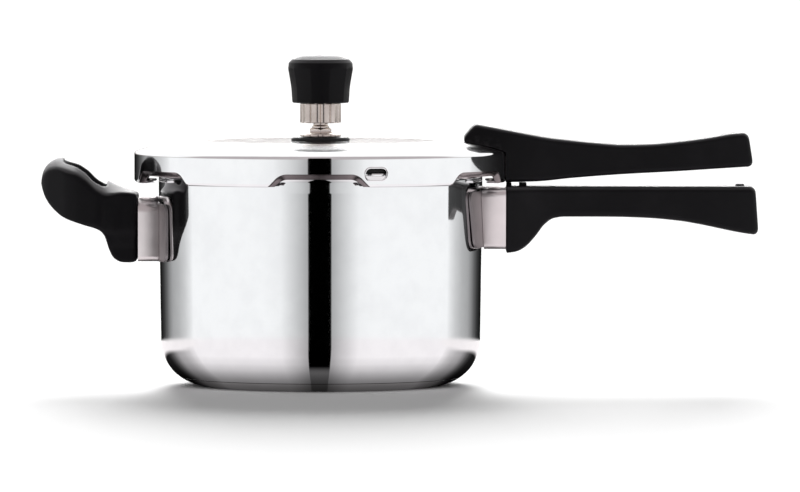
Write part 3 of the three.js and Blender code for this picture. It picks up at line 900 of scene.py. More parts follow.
@dataclass
class Pot:
    """The drawn pot, its rim of tabs and its bonded base."""

    finishes: Finishes
    radius: float = 91.7
    neck: float = 93.0
    neck_height: float = 113.0
    wall: float = 1.4
    corner: float = 26.0
    inner_corner: float = 18.0
    notch: float = 96.6
    tab_reach: float = 104.0
    lip: float = 1.6
    tab_half_angle: float = 13.5
    lip_height: float = 6.0
    base_skin: float = 0.7

    def __post_init__(self) -> None:
        """Reads the heights that the frame fixes."""
        low, high = box_mm("pot_shell")
        self.floor, self.rim = low.z, high.z
        self.base_top = box_mm("base_capsule")[1].z
        self.flange = self.rim - self.lip
        self.lip_low = self.rim - self.lip_height

    def corner_arc(self, offset: float, low: float, high: float, steps: int) -> list[Point]:
        """The outline's round bottom corner, offset inwards, from one height up to another.

        Args:
            offset: How far inside the outline it runs.
            low: Its lower height.
            high: Its upper height.
            steps: The number of chords.

        Returns:
            Its radii and heights.
        """
        reach = self.corner - offset
        angles = [math.degrees(math.asin(max(-1.0, (z - self.corner) / reach))) for z in (low, high)]
        return arc((self.radius - self.corner, self.corner), reach, *angles, steps)

    def shell_profile(self) -> list[Point]:
        """The shell's wall from the middle of its underside, over the rim, to the middle inside."""
        inner = self.radius - self.wall
        inner_floor = self.floor + self.wall
        neck_inner = self.neck - self.wall
        upper = filleted(
            [
                (self.radius, self.corner, 0), (self.neck, self.neck_height, 60),
                (self.neck, self.flange - 3, 2), (self.notch - 0.9, self.flange, 0.5),
                (self.notch, self.flange, 0), (self.notch, self.rim, 0),
                (neck_inner, self.rim, 0.7), (neck_inner, self.neck_height, 60),
                (inner, inner_floor + self.inner_corner, 0),
            ],
            steps=6,
        )
        lower = arc(
            (inner - self.inner_corner, inner_floor + self.inner_corner), self.inner_corner, 0, -90, 14,
        )
        return [
            (0, self.floor), *self.corner_arc(0, self.floor, self.corner, 22)[:-1],
            *upper[:-1], *lower, (0, inner_floor),
        ]

    def add_tabs(self, form: Form) -> None:
        """Draws the tabs out of the rim's edge and turns their outer edge down.

        Args:
            form: The shell.
        """
        mesh = form.mesh

        def on_tab(face: bmesh.types.BMFace) -> bool:
            """Whether a face of the rim's edge belongs to a tab."""
            centre = face.calc_center_median()
            angle = math.degrees(math.atan2(centre.y, centre.x))
            off = (angle + LUG_PITCH / 2) % LUG_PITCH - LUG_PITCH / 2
            level = self.flange + 0.1 < centre.z < self.rim - 0.1
            edge = abs(math.hypot(centre.x, centre.y) - self.notch) < 0.1
            return level and edge and abs(off) < self.tab_half_angle

        drawn = [f for f in mesh.faces if on_tab(f)]
        for reach in (self.tab_reach - self.lip, self.tab_reach):
            made = bmesh.ops.extrude_face_region(mesh, geom=drawn, use_keep_orig=False)
            bmesh.ops.delete(mesh, geom=drawn, context="FACES_ONLY")
            drawn = [g for g in made["geom"] if isinstance(g, bmesh.types.BMFace)]
            for vert in {v for f in drawn for v in f.verts}:
                flat = Vector((vert.co.x, vert.co.y)).normalized() * reach
                vert.co = (flat.x, flat.y, vert.co.z)
        under = [
            f for f in mesh.faces
            if f.calc_center_median().z < self.flange + 0.05 and f.normal.z < -0.9
            and math.hypot(*f.calc_center_median().xy) > self.tab_reach - self.lip
        ]
        made = bmesh.ops.extrude_face_region(mesh, geom=under)
        bmesh.ops.delete(mesh, geom=under, context="FACES_ONLY")
        for vert in (g for g in made["geom"] if isinstance(g, bmesh.types.BMVert)):
            vert.co.z = self.lip_low
        form.sealed()

    def build(self) -> None:
        """Builds the shell and the base."""
        shell = Form.spun(self.shell_profile())
        self.add_tabs(shell)
        shell.softened(0.4, 2, 50).piece("pot", Body.POT, self.finishes.mirror, ["pot_shell"])
        edge = self.corner_arc(0, 0, self.base_top, 10)
        inside = self.corner_arc(self.base_skin, self.base_skin, self.base_top, 10)
        capsule = Form.spun([(0, 0), *edge, *reversed(inside), (0, self.base_skin)])
        capsule.piece("base", Body.POT, self.finishes.base, ["base_capsule"])
        self.finishes.dress_node("base_heat_spreader", self.finishes.aluminium)


@dataclass
class Screw:
    """A pan-head screw with a cross recess. Its head is at the bottom."""

    length: float
    shank: float = 2.4
    head: float = 4.2
    head_height: float = 2.8

    def holes(self) -> list[Point]:
        """The radius and top of the holes for the head and the shank, from the head's underside up."""
        return [
            (self.head + HEAD_CLEARANCE, self.head_height + END_CLEARANCE),
            (self.shank + SHANK_CLEARANCE, self.length + END_CLEARANCE),
        ]

    def form(self) -> Form:
        """The screw standing on its head at the origin."""
        profile = filleted(
            [
                (0, 0, 0), (self.head - 0.6, 0, 1.2), (self.head, 1.4, 0.5),
                (self.head, self.head_height, 0.2), (self.shank, self.head_height, 0),
                (self.shank, self.length, 0.5), (0, self.length, 0),
            ],
            steps=4,
        )
        made = Form.spun(profile, steps=64)
        arm, width, depth = 2.3, 0.55, 1.5
        for long, short in ((arm, width), (width, arm)):
            outline = [(-long, -short), (long, -short), (long, short), (-long, short)]
            made.worked(Form.prism(outline, -1, depth), Cut.AWAY)
        return made


@dataclass
class WallFitting:
    """A saddle welded to the pot's wall and the sleeve that stands on it."""

    finishes: Finishes
    name: str
    facing: int
    saddle_top: float
    saddle_bottom: float
    sleeve_top: float
    sleeve_bottom: float
    crown: float
    foot: float
    wall: float = 93.3
    sheet: float = 1.4
    sleeve_sheet: float = 1.0
    saddle_corner: float = 5.0
    rows: int = 32
    columns: int = 40

    def saddle(self) -> Form:
        """The plate that hugs the wall, with round corners."""
        low, high = box_mm(f"{self.name}_bracket")
        bottom, top = low.z, min(high.z, box_mm(f"{self.name}_collar")[1].z)
        corner = self.saddle_corner
        rows = []
        for i in range(self.rows + 1):
            t = 0.5 - 0.5 * math.cos(math.pi * i / self.rows)
            z = bottom + (top - bottom) * t
            reach = self.saddle_bottom + (self.saddle_top - self.saddle_bottom) * t
            inset = max(0.0, corner - min(z - bottom, top - z))
            reach -= corner - math.sqrt(corner * corner - inset * inset)
            row = []
            for k in range(self.columns + 1):
                angle = (2 * k / self.columns - 1) * reach / self.wall
                across = self.wall * math.sin(angle)
                row.append(Vector((self.facing * self.wall * math.cos(angle), across, z)))
            rows.append(row)
        form = Form.sheet(rows, self.sheet)
        form.shaped(self.outward)
        return form.softened(0.35, 2, 50)

    def outward(self, point: Vector) -> Vector:
        """Keeps a saddle point between the wall and the plate's outer face.

        Args:
            point: The point.

        Returns:
            The point's new place.
        """
        radius = math.hypot(point.x, point.y)
        wanted = self.wall if abs(radius - self.wall) < 0.2 else self.wall + self.sheet
        return Vector((point.x * wanted / radius, point.y * wanted / radius, point.z))

    def sleeve(self) -> Form:
        """The open sleeve between the saddle and the handle."""
        low, high = box_mm(f"{self.name}_collar")
        end = high.x if self.facing > 0 else low.x

        def outline(inset: float) -> list[Point]:
            """The sleeve's section in Y and Z, drawn in from its outside."""
            top, bottom = self.sleeve_top - inset, self.sleeve_bottom - inset
            lower, upper = low.z + inset, high.z - inset
            crown, foot = self.crown - inset, self.foot - inset
            corners = [
                (-bottom, lower, foot), (bottom, lower, foot), (top, upper, crown), (-top, upper, crown),
            ]
            return filleted(corners, closed=True, steps=10)

        start = self.facing * 60.0
        past = self.facing * 5
        form = Form.prism(outline(0), start, end, "X")
        form.worked(Form.prism(outline(self.sleeve_sheet), start - past, end + past, "X"), Cut.AWAY)
        form.worked(Form.rod(self.wall + self.sheet + 0.15, 40, 140, steps=TURN_STEPS), Cut.AWAY)
        return form

    def build(self) -> None:
        """Builds both pieces."""
        # The saddle takes the steel painted dark, a painted shade.
        self.saddle().piece(
            f"{self.name}_saddle", Body.POT, self.finishes.saddle_painted_dark, [f"{self.name}_bracket"],
        )
        self.sleeve().softened(0.2, 2, 50).piece(
            f"{self.name}_sleeve", Body.POT, self.finishes.satin, [f"{self.name}_collar"],
        )


@dataclass
class LongHandle:
    """A long bakelite handle, lofted through sections along X."""

    start: float
    end: float
    top: Sequence[Point]
    bottom: Sequence[Point]
    upper_half: Sequence[Point]
    lower_half: Sequence[Point]
    rounding: float
    lean: float
    end_rounding: float = 3.5
    start_rounding: float = 0.8

    def stations(self) -> list[float]:
        """Where the sections stand, closer together at both ends."""
        ends = [1 - math.cos(math.pi / 2 * i / 8) for i in range(9)]
        near = [self.start + self.start_rounding * e for e in ends]
        far = [self.end - self.end_rounding * e for e in reversed(ends)]
        count = 90
        first, last = near[-1], far[0]
        middle = [first + (last - first) * i / count for i in range(1, count)]
        return near + middle + far

    def inset(self, x: float) -> float:
        """How far the section is drawn in to round the handle's ends.

        Args:
            x: The section's place.

        Returns:
            The distance.
        """
        drawn = 0.0
        for radius, depth in ((self.start_rounding, x - self.start), (self.end_rounding, self.end - x)):
            if depth < radius:
                drawn += radius - math.sqrt(max(0.0, radius * radius - (radius - depth) ** 2))
        return drawn

    def form(self) -> Form:
        """The handle before its cuts."""
        top, bottom = smooth_line(self.top), smooth_line(self.bottom)
        upper, lower = smooth_line(self.upper_half), smooth_line(self.lower_half)
        loops = []
        for x in self.stations():
            drawn = self.inset(x)
            high, low = top(x) - drawn, bottom(x) + drawn
            wide, narrow = upper(x) - drawn, lower(x) - drawn
            rounding = min(self.rounding, 0.4 * (high - low))
            corners = [
                (-narrow, low, rounding), (narrow, low, rounding),
                (wide, high, rounding), (-wide, high, rounding),
            ]
            outline = filleted(corners, closed=True, steps=6)
            tilt = self.lean * ease(x, self.end - 30, self.end)
            middle = (high + low) / 2
            loops.append([Vector((x - tilt * (z - middle), y, z)) for y, z in outline])
        return Form.lofted(loops)


@dataclass
class BodyHandle:
    """The pot's long handle and its screw."""

    finishes: Finishes
    screw_x: float = 140.0

    def build(self) -> None:
        """Builds the handle with its pads, its nub and its screw."""
        low, high = box_mm("body_handle")
        handle = LongHandle(
            start=low.x, end=high.x - 1.1,
            top=[(106, 114.4), (246, 114.4)],
            bottom=[(106, 76.2), (112, 77), (117, 79.4), (123.6, 86.2), (128.5, 92.6), (134, 96.2),
                    (140, 97), (168, 96.9), (187, 96.3), (206, 94.6), (218, 92.6), (242, 87.6), (249, 86.6)],
            upper_half=[(106, 23.2), (112, 22), (122, 18), (136, 14), (165, 12.6), (205, 13.4),
                        (238, 15), (252, 14)],
            lower_half=[(106, 15.6), (120, 13.6), (140, 12), (165, 11.4), (205, 12.2), (238, 13.6),
                        (252, 12.6)],
            rounding=3.2, lean=0.07,
        )
        form = handle.form()
        for x, half_length, half_width, top in ((108.2, 1.5, 7, 116.3), (116.2, 2.1, 7, 116.4)):
            outline = [(x - half_length, -half_width), (x + half_length, -half_width),
                       (x + half_length, half_width), (x - half_length, half_width)]
            form.worked(Form.prism(outline, 110, top).softened(0.4, 2), Cut.ONTO)
        form.worked(Form.rod(2.6, 110, 115.6, 0.8).moved(x=241), Cut.ONTO)
        screw_low = box_mm("body_handle_screw")[0].z
        screw = Screw(box_mm("body_handle_screw")[1].z - screw_low)
        for radius, top in screw.holes():
            form.worked(Form.rod(radius, 60, screw_low + top).moved(x=self.screw_x), Cut.AWAY)
        form.piece("body_handle_grip", Body.POT, self.finishes.bakelite, ["body_handle"], sharp=40)
        screw.form().moved(self.screw_x, 0, screw_low).piece(
            "body_handle_bolt", Body.POT, self.finishes.satin, ["body_handle_screw"],
        )


@dataclass
class HelperHandle:
    """The short loop handle and its screw."""

    finishes: Finishes
    near: float = -122.5
    far: float = -147.0
    slot_half: float = 26.0
    reach: float = 34.0
    crown: float = 8.5

    def outline(self) -> list[Point]:
        """The side view in X and Z."""
        top = smooth_line([(-160.2, 117.5), (-159.2, 123.2), (-154.7, 128.6), (-147.7, 131.1),
                           (-140.8, 130.8), (-135.2, 128), (-128.2, 121.6), (-120.5, 116.6),
                           (-111.5, 112.6), (-104.9, 110.4)])
        low = smooth_line([(-160.2, 117.5), (-158.2, 112), (-151.9, 103.8), (-144.9, 97.6), (-135.2, 93),
                           (-126.6, 90.2), (-123.4, 87), (-121.4, 79.6), (-118.6, 73.8), (-114.3, 71.2),
                           (-108.7, 70.9), (-104.9, 71.6)])
        count = 70
        xs = [-160.2 + 55.3 * (i / count) ** 1.5 for i in range(count + 1)]
        return [(x, low(x)) for x in xs] + [(x, top(x)) for x in reversed(xs[1:])]

    def plan(self) -> list[Point]:
        """The view from above in X and Y."""
        corners = [(-104.7, -22, 0), (-114, -26, 10), (-124, -self.reach, 12), (-143, -self.reach, 14),
                   (-160.6, -19, 14), (-160.6, 19, 14), (-143, self.reach, 14), (-124, self.reach, 12),
                   (-114, 26, 10), (-104.7, 22, 0)]
        return filleted(corners, closed=True, steps=10)

    def slot(self) -> list[Point]:
        """The finger slot from above."""
        corners = [(self.near, -self.slot_half, 9), (self.far, -self.slot_half + 3, 12),
                   (self.far, self.slot_half - 3, 12), (self.near, self.slot_half, 9)]
        return filleted(corners, closed=True, steps=10)

    def sculpted(self, point: Vector) -> Vector:
        """Drops the loop's sides and narrows its foot.

        Args:
            point: The point.

        Returns:
            The point's new place.
        """
        loop = ease(-point.x, 106, 124)
        drop = self.crown * loop * (abs(point.y) / self.reach) ** 2.2 * ease(point.z, 92, 112)
        foot = 1 - 0.3 * ease(-point.z, -92, -78) * ease(abs(point.y), 8, 24)
        return Vector((point.x, point.y * foot, point.z - drop))

    def build(self) -> None:
        """Builds the handle and its screw."""
        form = Form.prism(self.outline(), -45, 45, "Y")
        form.worked(Form.prism(self.plan(), 40, 160), Cut.WITHIN)
        form.worked(Form.prism(self.slot(), 40, 160), Cut.AWAY)
        form.remeshed(0.8).shaped(self.sculpted).relaxed(14)
        low, high = box_mm("helper_handle_screw")
        height = (low.z + high.z) / 2
        screw = Screw(high.x - low.x)
        hole = Form.rod(screw.head + HEAD_CLEARANCE, -30, screw.head_height + END_CLEARANCE)
        form.worked(hole.turned(90, "Y").moved(low.x, 0, height), Cut.AWAY)
        shank = Form.rod(screw.shank + SHANK_CLEARANCE, 0, screw.length)
        form.worked(shank.turned(90, "Y").moved(low.x, 0, height), Cut.AWAY)
        form.piece("helper_grip", Body.POT, self.finishes.bakelite, ["helper_handle"], sharp=50)
        screw.form().turned(90, "Y").moved(low.x, 0, height).piece(
            "helper_bolt", Body.POT, self.finishes.satin, ["helper_handle_screw"],
        )


@dataclass
class Lid:
    """The outer lid with its lugs, arches and relief window, and the sealing ring inside it."""

    finishes: Finishes
    radius: float = 107.0
    sheet: float = 1.2
    shoulder: float = 134.7
    rise: float = 5.7
    flat: float = 66.0
    fall_power: float = 2.4
    lug_reach: float = 97.5
    lug_half_angle: float = 14.4
    curl: float = 2.2
    arch_half: float = 29.0
    arch_top_half: float = 22.0
    arch_height: float = 7.6
    lip_width: float = 3.2
    window_angle: float = 17.6
    window_width: float = 12.4
    window_height: float = 6.3
    window_middle: float = 7.65
    vent_hole: float = 5.2
    plug_y: float = 46.0
    plug_hole: float = 4.2

    def __post_init__(self) -> None:
        """Reads the heights that the frame fixes."""
        self.low = box_mm("lid_shell")[0].z

    def height(self, r: float) -> float:
        """The outer face's height at a radius."""
        fall = (r - self.flat) / (self.radius - self.sheet - self.flat)
        return self.shoulder + self.rise * (1 - min(1.0, max(0.0, fall)) ** self.fall_power)

    def shell_profile(self) -> list[Point]:
        """The wall's section, from the vent hole out under the lid, round the skirt and back over it."""
        count = 40
        edge = self.radius - 3.2
        stations = [self.flat + (edge - self.flat) * (i / count) for i in range(count + 1)]
        top = [(r, self.height(r)) for r in stations]
        under = [(r - 0.3 * ease(r, 85, 104), z - self.sheet) for r, z in top]
        inner = self.radius - self.sheet
        ledge = self.low + 1.4
        skirt = filleted(
            [
                (*under[-1], 0), (inner, self.shoulder - self.sheet - 1.2, 1.2), (inner, ledge, 0.9),
                (self.lug_reach, ledge, 0.5), (self.lug_reach, self.low, 0.5),
                (self.radius, self.low, self.curl), (self.radius, self.shoulder - 0.4, 2.0), (*top[-1], 0),
            ],
            steps=7,
        )
        hole = [(self.vent_hole, top[0][1] - self.sheet), (self.vent_hole, top[0][1])]
        return [hole[0], *under[:-1], *skirt, *reversed(top[:-1]), hole[1]]

    def arch_outline(self, inset: float) -> list[Point]:
        """Half an arch's edge from the skirt's lower edge up to the middle, across and up.

        Args:
            inset: How far inside the arch's edge it runs.

        Returns:
            Distances across and heights above the skirt's lower edge.
        """
        slope = inset * 0.9
        corners = [
            (-self.arch_half + slope, -3, 0), (-self.arch_half + slope, 0.2, 2.5),
            (-self.arch_top_half + slope * 0.5, self.arch_height - inset, 9 - inset * 0.6),
            (0, self.arch_height - inset, 0),
        ]
        half = filleted(corners, steps=8)
        return half + [(-x, z) for x, z in reversed(half[:-1])]

    def on_skirt(self, across: float, up: float, depth: float) -> Vector:
        """A point on the front of the skirt, some way in from its outer face.

        Args:
            across: The distance across from the middle of the front.
            up: The height above the skirt's lower edge.
            depth: The distance in from the outer face.

        Returns:
            The point.
        """
        radius = self.radius - depth
        angle = math.asin(across / self.radius)
        return Vector((radius * math.sin(angle), -radius * math.cos(angle), self.low + up))

    def arch_lip(self) -> Form:
        """The rolled edge of the front arch."""
        rows = []
        steps = 6
        for k in range(steps + 1):
            t = k / steps
            inset = self.lip_width * t
            depth = 0.05 + 3.0 * t**1.4
            line = [(x, z) for x, z in self.arch_outline(inset) if z > 0.3]
            rows.append([self.on_skirt(x, z, depth) for x, z in line])
        lip = Form.sheet(rows, 1.0)
        return lip.softened(0.25, 2, 50)

    def window_outline(self, outset: float) -> list[Point]:
        """The relief window's outline, widened by some way, as distance across and height.

        Args:
            outset: How far outside the window's edge it runs.

        Returns:
            The closed outline.
        """
        half, end = self.window_width / 2 + outset, self.window_height / 2 + outset
        low, high = self.window_middle - end, self.window_middle + end
        corners = [(-half, low, end), (half, low, end), (half, high, end), (-half, high, end)]
        return filleted(corners, closed=True, steps=12)

    def window_rim(self) -> Form:
        """The raised rim of the relief window."""
        section = [(0.05, 1.7), (0.05, 0.2), (0.15, -0.1), (0.45, -0.25), (0.8, -0.15), (1.1, 0.1)]
        rows = [
            [self.on_skirt(x, z, depth) for x, z in self.window_outline(outset)]
            for outset, depth in section
        ]
        return Form.sheet(rows, 0.25, closed=True).turned(self.window_angle)

    def build(self) -> None:
        """Builds the shell, the rolled arch edges and the sealing ring."""
        shell = Form.spun(self.shell_profile(), closed=True, steps=360)
        gap = LUG_PITCH / 2 - self.lug_half_angle
        for i in range(LUGS):
            middle = LUG_PITCH * i
            angles = [math.radians(-90 + a) for a in (-gap, -gap / 2, 0, gap / 2, gap)]
            far = self.radius - self.sheet
            near = self.lug_reach - 2
            sector = [(far * math.cos(a), far * math.sin(a)) for a in angles]
            sector += [(near * math.cos(a), near * math.sin(a)) for a in reversed(angles)]
            opening = Form.prism(sector, self.low - 1, self.low + 2.4).turned(middle)
            shell.worked(opening, Cut.AWAY)
            outline = [(x, self.low + z) for x, z in self.arch_outline(0)]
            arch = Form.prism(outline, -self.radius - 8, -self.lug_reach + 4, "Y").turned(middle)
            shell.worked(arch, Cut.AWAY)
        hole = [(x, self.low + z) for x, z in self.window_outline(0)]
        window = Form.prism(hole, -self.radius - 6, -self.radius + 6, "Y")
        shell.worked(window.turned(self.window_angle), Cut.AWAY)
        shell.worked(Form.rod(self.plug_hole, 130, 150).moved(y=self.plug_y), Cut.AWAY)
        shell.piece("lid", Body.LID, self.finishes.lid, ["lid_shell"], sharp=28)
        lips = self.arch_lip().repeated(LUGS)
        # The arch edges take the steel painted dark, a painted shade.
        lips.piece("lid_arch_edges", Body.LID, self.finishes.edge)
        self.window_rim().piece("lid_window_rim", Body.LID, self.finishes.mirror)
        self.build_ring()

    def build_ring(self) -> None:
        """Builds the sealing ring."""
        low, high = box_mm("sealing_ring")
        inner, outer, lip = 94.4, high.x, 2.4
        corners = [
            (inner, low.z, 0.6), (outer, low.z, 1.2), (outer, high.z, 1.6), (inner, high.z, 0.6),
            (inner, high.z - lip, 0.6), (outer - 3.4, high.z - lip, 1.2), (outer - 3.4, low.z + lip, 1.2),
            (inner, low.z + lip, 0.6),
        ]
        ring = Form.spun(filleted(corners, closed=True, steps=4), closed=True)
        ring.piece("gasket", Body.SEAL, self.finishes.rubber, ["sealing_ring"])


@dataclass
class LidHandle:
    """The lid's long handle, its plate and its screws."""

    finishes: Finishes
    lid: Lid

    def lid_form(self, clearance: float) -> Form:
        """The space that the lid takes, for fitting the handle to it.

        Args:
            clearance: The gap left over the lid.

        Returns:
            The space.
        """
        top = [(r, self.lid.height(r) + clearance) for r in range(104, 20, -2)]
        reach = self.lid.radius + clearance
        return Form.spun([(0, 90), (reach, 90), (reach, self.lid.shoulder - 0.6), *top, (0, top[-1][1])])

    def build(self) -> None:
        """Builds the handle and its screws, and dresses the plate."""
        low, high = box_mm("lid_handle")
        handle = LongHandle(
            start=low.x, end=high.x - 1.6,
            top=[(82.5, 143), (84, 145), (86.4, 147.8), (88.4, 149.7), (89.6, 149.95), (93.7, 149.3),
                 (106, 147), (118.6, 144.6), (131, 142.4), (143.5, 140.9), (156, 139.6), (174.7, 138.4),
                 (187, 138.6), (206, 140.2), (224.5, 142.7), (238, 144.8), (248, 145.4)],
            bottom=[(82.5, 134), (99, 134), (100, 116.8), (106, 116.9), (124.8, 117.4), (143.5, 119.2),
                    (168.5, 121.1), (206, 123.2), (243, 125.7), (249, 126)],
            upper_half=[(82, 14), (92, 15.6), (106, 16), (125, 15), (150, 13), (178, 12), (210, 13.4),
                        (236, 15.2), (249, 14.6)],
            lower_half=[(82, 14), (92, 15.6), (106, 16), (125, 14.6), (150, 12.4), (178, 11.4), (210, 12.6),
                        (236, 14.2), (249, 13.4)],
            rounding=2.6, lean=0.16,
        )
        form = handle.form().worked(self.lid_form(GAP), Cut.AWAY)
        for number in (1, 2):
            node = f"lid_handle_screw_{number}"
            screw_low, screw_high = box_mm(node)
            x = (screw_low.x + screw_high.x) / 2
            screw = Screw(screw_high.z - screw_low.z)
            for radius, top in screw.holes():
                form.worked(Form.rod(radius, 90, screw_low.z + top).moved(x=x), Cut.AWAY)
            screw.form().moved(x, 0, screw_low.z).piece(
                f"lid_handle_bolt_{number}", Body.LID, self.finishes.satin, [node],
            )
        form.piece("lid_handle_grip", Body.LID, self.finishes.bakelite, ["lid_handle"], sharp=40)
        self.finishes.dress_node("lid_handle_bracket", self.finishes.satin)


@dataclass
class Vent:
    """The vent stack at the middle of the lid."""

    finishes: Finishes
    hole: float = 5.2
    flutes: int = 12

    def tube(self) -> Form:
        """The tube, with its flange under the lid and its retaining neck at the top."""
        low, high = box_mm("vent_tube")
        bottom, top = low.z, high.z
        bore, neck = 1.4, 2.6
        flange = box_mm("vent_inner_washer")[0].z - END_CLEARANCE
        nut_top = box_mm("vent_nut")[1].z
        waist = box_mm("weight_body")[0].z
        corners = [
            (bore, bottom, 0.2), (8.5, bottom, 0.6), (8.5, flange, 0.3), (4.8, flange, 0),
            (4.8, nut_top + 0.8, 0.3), (4.1, nut_top + 1.6, 0.3), (4.1, waist + 1.2, 0.4),
            (neck, waist + 2.6, 0.6), (neck, top - 2.6, 0.5), (3.5, top - 1.8, 0.3),
            (3.5, top - 0.8, 0.3), (2.0, top, 0.2), (bore, top, 0.1),
        ]
        return Form.spun(filleted(corners, closed=True, steps=3), closed=True, steps=96)

    def nut(self) -> Form:
        """The hexagon nut with its top corners turned off."""
        low, high = box_mm("vent_nut")
        return hexagon(12.3, low.z, high.z, self.hole, 1.5).turned(30)

    def fluted_washer(self) -> Form:
        """The washer with a scalloped edge."""
        low, high = box_mm("vent_washer")
        corners = [(self.hole, low.z, 0), (high.x, low.z, 0.3), (high.x, high.z, 0.5), (self.hole, high.z, 0)]
        form = Form.spun(filleted(corners, closed=True, steps=3), closed=True)
        return form.shaped(lambda p: lobed(p, self.flutes, 0.6))

    def build(self) -> None:
        """Builds the stack from the lid upwards."""
        finishes = self.finishes
        self.tube().piece("vent_pipe", Body.LID, finishes.nickel, ["vent_tube"])
        low, high = box_mm("vent_rubber_seat")
        floor = low.z - 0.28
        corners = [(self.hole, floor, 0), (high.x, floor, 0), (high.x, low.z + 0.8, 0.5),
                   (high.x - 0.9, high.z, 0.7), (self.hole, high.z, 0)]
        seat = Form.spun(filleted(corners, closed=True, steps=4), closed=True)
        seat.piece("vent_seat", Body.LID, finishes.rubber, ["vent_rubber_seat"])
        self.fluted_washer().piece("vent_base", Body.LID, finishes.nickel, ["vent_washer"])
        self.nut().piece("vent_hexagon", Body.LID, finishes.nickel, ["vent_nut"])
        finishes.dress_node("vent_inner_washer", finishes.fibre)


def hexagon(flats: float, low: float, high: float, hole: float, chamfer: float) -> Form:
    """A hexagon nut with its upper corners turned off.

    Args:
        flats: The distance across its flats.
        low: Its underside's height.
        high: Its top's height.
        hole: Its hole's radius, or 0.
        chamfer: How far down the corners are turned off.

    Returns:
        The nut, with a corner on the X axis.
    """
    corner = flats / 2 / math.cos(math.radians(30))
    outline = arc((0, 0), corner, 0, 300, 5)
    form = Form.prism(outline, low, high).softened(0.5, 3, 50)
    crown = [(0, low - 1), (corner + 1, low - 1), (corner + 1, high - chamfer - 0.5),
             (flats / 2 - 0.9, high), (0, high)]
    form.worked(Form.spun(crown, steps=96), Cut.WITHIN)
    if hole:
        form.worked(Form.rod(hole, low - 2, high + 2, steps=64), Cut.AWAY)
    return form


def lobed(point: Vector, count: int, depth: float) -> Vector:
    """Draws a point in to make round lobes with narrow grooves between them, one at the front.

    Args:
        point: The point.
        count: The number of lobes.
        depth: The grooves' depth.

    Returns:
        The point's new place.
    """
    radius = math.hypot(point.x, point.y)
    if radius < 9:
        return point
    pitch = 360 / count
    off = abs(math.degrees(math.atan2(point.y, point.x)) % pitch - pitch / 2) / (pitch / 2)
    drawn = depth * (0.5 * off * off + 0.5 * ease(off, 0.8, 1.0))
    scale = (radius - drawn) / radius
    return Vector((point.x * scale, point.y * scale, point.z))


@dataclass
class Weight:
    """The weight, its cap, its needle and the clip that holds it on the tube."""

    finishes: Finishes
    flutes: int = 12
    facets: int = 10
    core: float = 10.4
    bore: float = 5.0

    def metal(self) -> Form:
        """The fluted metal body, hollow below."""
        low, high = box_mm("weight_body")
        clip_low, clip_high = box_mm("weight_clip")
        cap_low = box_mm("weight_cap")[0].z
        groove = clip_high.x + END_CLEARANCE
        groove_low, groove_top = clip_low.z - END_CLEARANCE, clip_high.z + END_CLEARANCE
        side = high.x
        corners = [
            (2.5, cap_low + 0.9, 0), (self.bore, cap_low + 0.9, 0), (self.bore, groove_top, 0),
            (groove, groove_top, 0), (groove, groove_low, 0), (self.bore, groove_low, 0),
            (self.bore, low.z, 0.4), (side, low.z, 0.6), (side, cap_low - END_CLEARANCE, 0.2),
            (self.core, cap_low - END_CLEARANCE, 0), (self.core, high.z, 0.6), (2.5, high.z, 0.2),
        ]
        form = Form.spun(filleted(corners, closed=True, steps=4), closed=True, steps=360)
        return form.shaped(lambda p: lobed(p, self.flutes, 1.15) if p.z < cap_low else p)

    def cap_profile(self) -> list[Point]:
        """The cap's section, with the socket for the body."""
        low, high = box_mm("weight_cap")
        top = box_mm("weight_body")[1].z + END_CLEARANCE
        socket = self.core + END_CLEARANCE
        reach = high.x
        return filleted(
            [
                (0, top, 0), (socket, top, 0.4), (socket, low.z, 0.4), (16.2, low.z, 1.0), (16.9, 171.6, 40),
                (reach, 181.9, 3), (reach - 0.4, 185.2, 1.6), (reach - 2.2, 187.1, 1.4), (11, 188.9, 14),
                (0, high.z, 0),
            ],
            steps=8,
        )

    def faceted(self, point: Vector) -> Vector:
        """Flattens the cap's side into upright facets that fade out below the top.

        Args:
            point: The point.

        Returns:
            The point's new place.
        """
        radius = math.hypot(point.x, point.y)
        if radius < 13:
            return point
        pitch = math.tau / self.facets
        angle = math.atan2(point.y, point.x)
        off = (angle % pitch) - pitch / 2
        flat = math.cos(pitch / 2) / math.cos(off)
        strength = 0.62 * (1 - ease(point.z, 180.5, 184.5))
        scale = 1 - strength * (1 - flat)
        return Vector((point.x * scale, point.y * scale, point.z))

    def build(self) -> None:
        """Builds the body and the cap, and dresses the small parts."""
        finishes = self.finishes
        self.metal().piece("weight_metal", Body.WEIGHT, finishes.nickel, ["weight_body"], sharp=40)
        cap = Form.spun(self.cap_profile()).shaped(self.faceted)
        cap.piece("weight_grip", Body.WEIGHT, finishes.bakelite, ["weight_cap"], sharp=40)
        finishes.dress_node("weight_clip", finishes.satin)
        finishes.dress_node("weight_needle", finishes.satin)


@dataclass
class SafetyPlug:
    """The fusible plug behind the vent."""

    finishes: Finishes

    def build(self) -> None:
        """Builds the plug and its washer, and dresses what is inside them."""
        low, high = box_mm("safety_plug")
        y = (low.y + high.y) / 2
        head_low = box_mm("safety_plug_washer")[1].z + 0.3
        head = hexagon(11, head_low, high.z, 0, 1.2)
        head.worked(Form.rod(3.7, low.z, head_low + 0.5), Cut.ONTO)
        head.worked(Form.rod(2, low.z - 2, high.z + 1), Cut.AWAY)
        head.moved(y=y).piece("fusible_plug", Body.LID, self.finishes.brass, ["safety_plug"])
        low, high = box_mm("safety_plug_washer")
        corners = [(4.2, low.z, 0.1), (high.x, low.z, 0.25), (high.x, high.z, 0.25), (4.2, high.z, 0.1)]
        washer = Form.spun(filleted(corners, closed=True, steps=3), closed=True, steps=96)
        washer.moved(y=y).piece("plug_washer", Body.LID, self.finishes.rubber, ["safety_plug_washer"])
        self.finishes.dress_node("safety_plug_alloy", self.finishes.fusible)
        self.finishes.dress_node("safety_plug_nut", self.finishes.brass)


# Studio -----------------------------------------------------------------------------------------


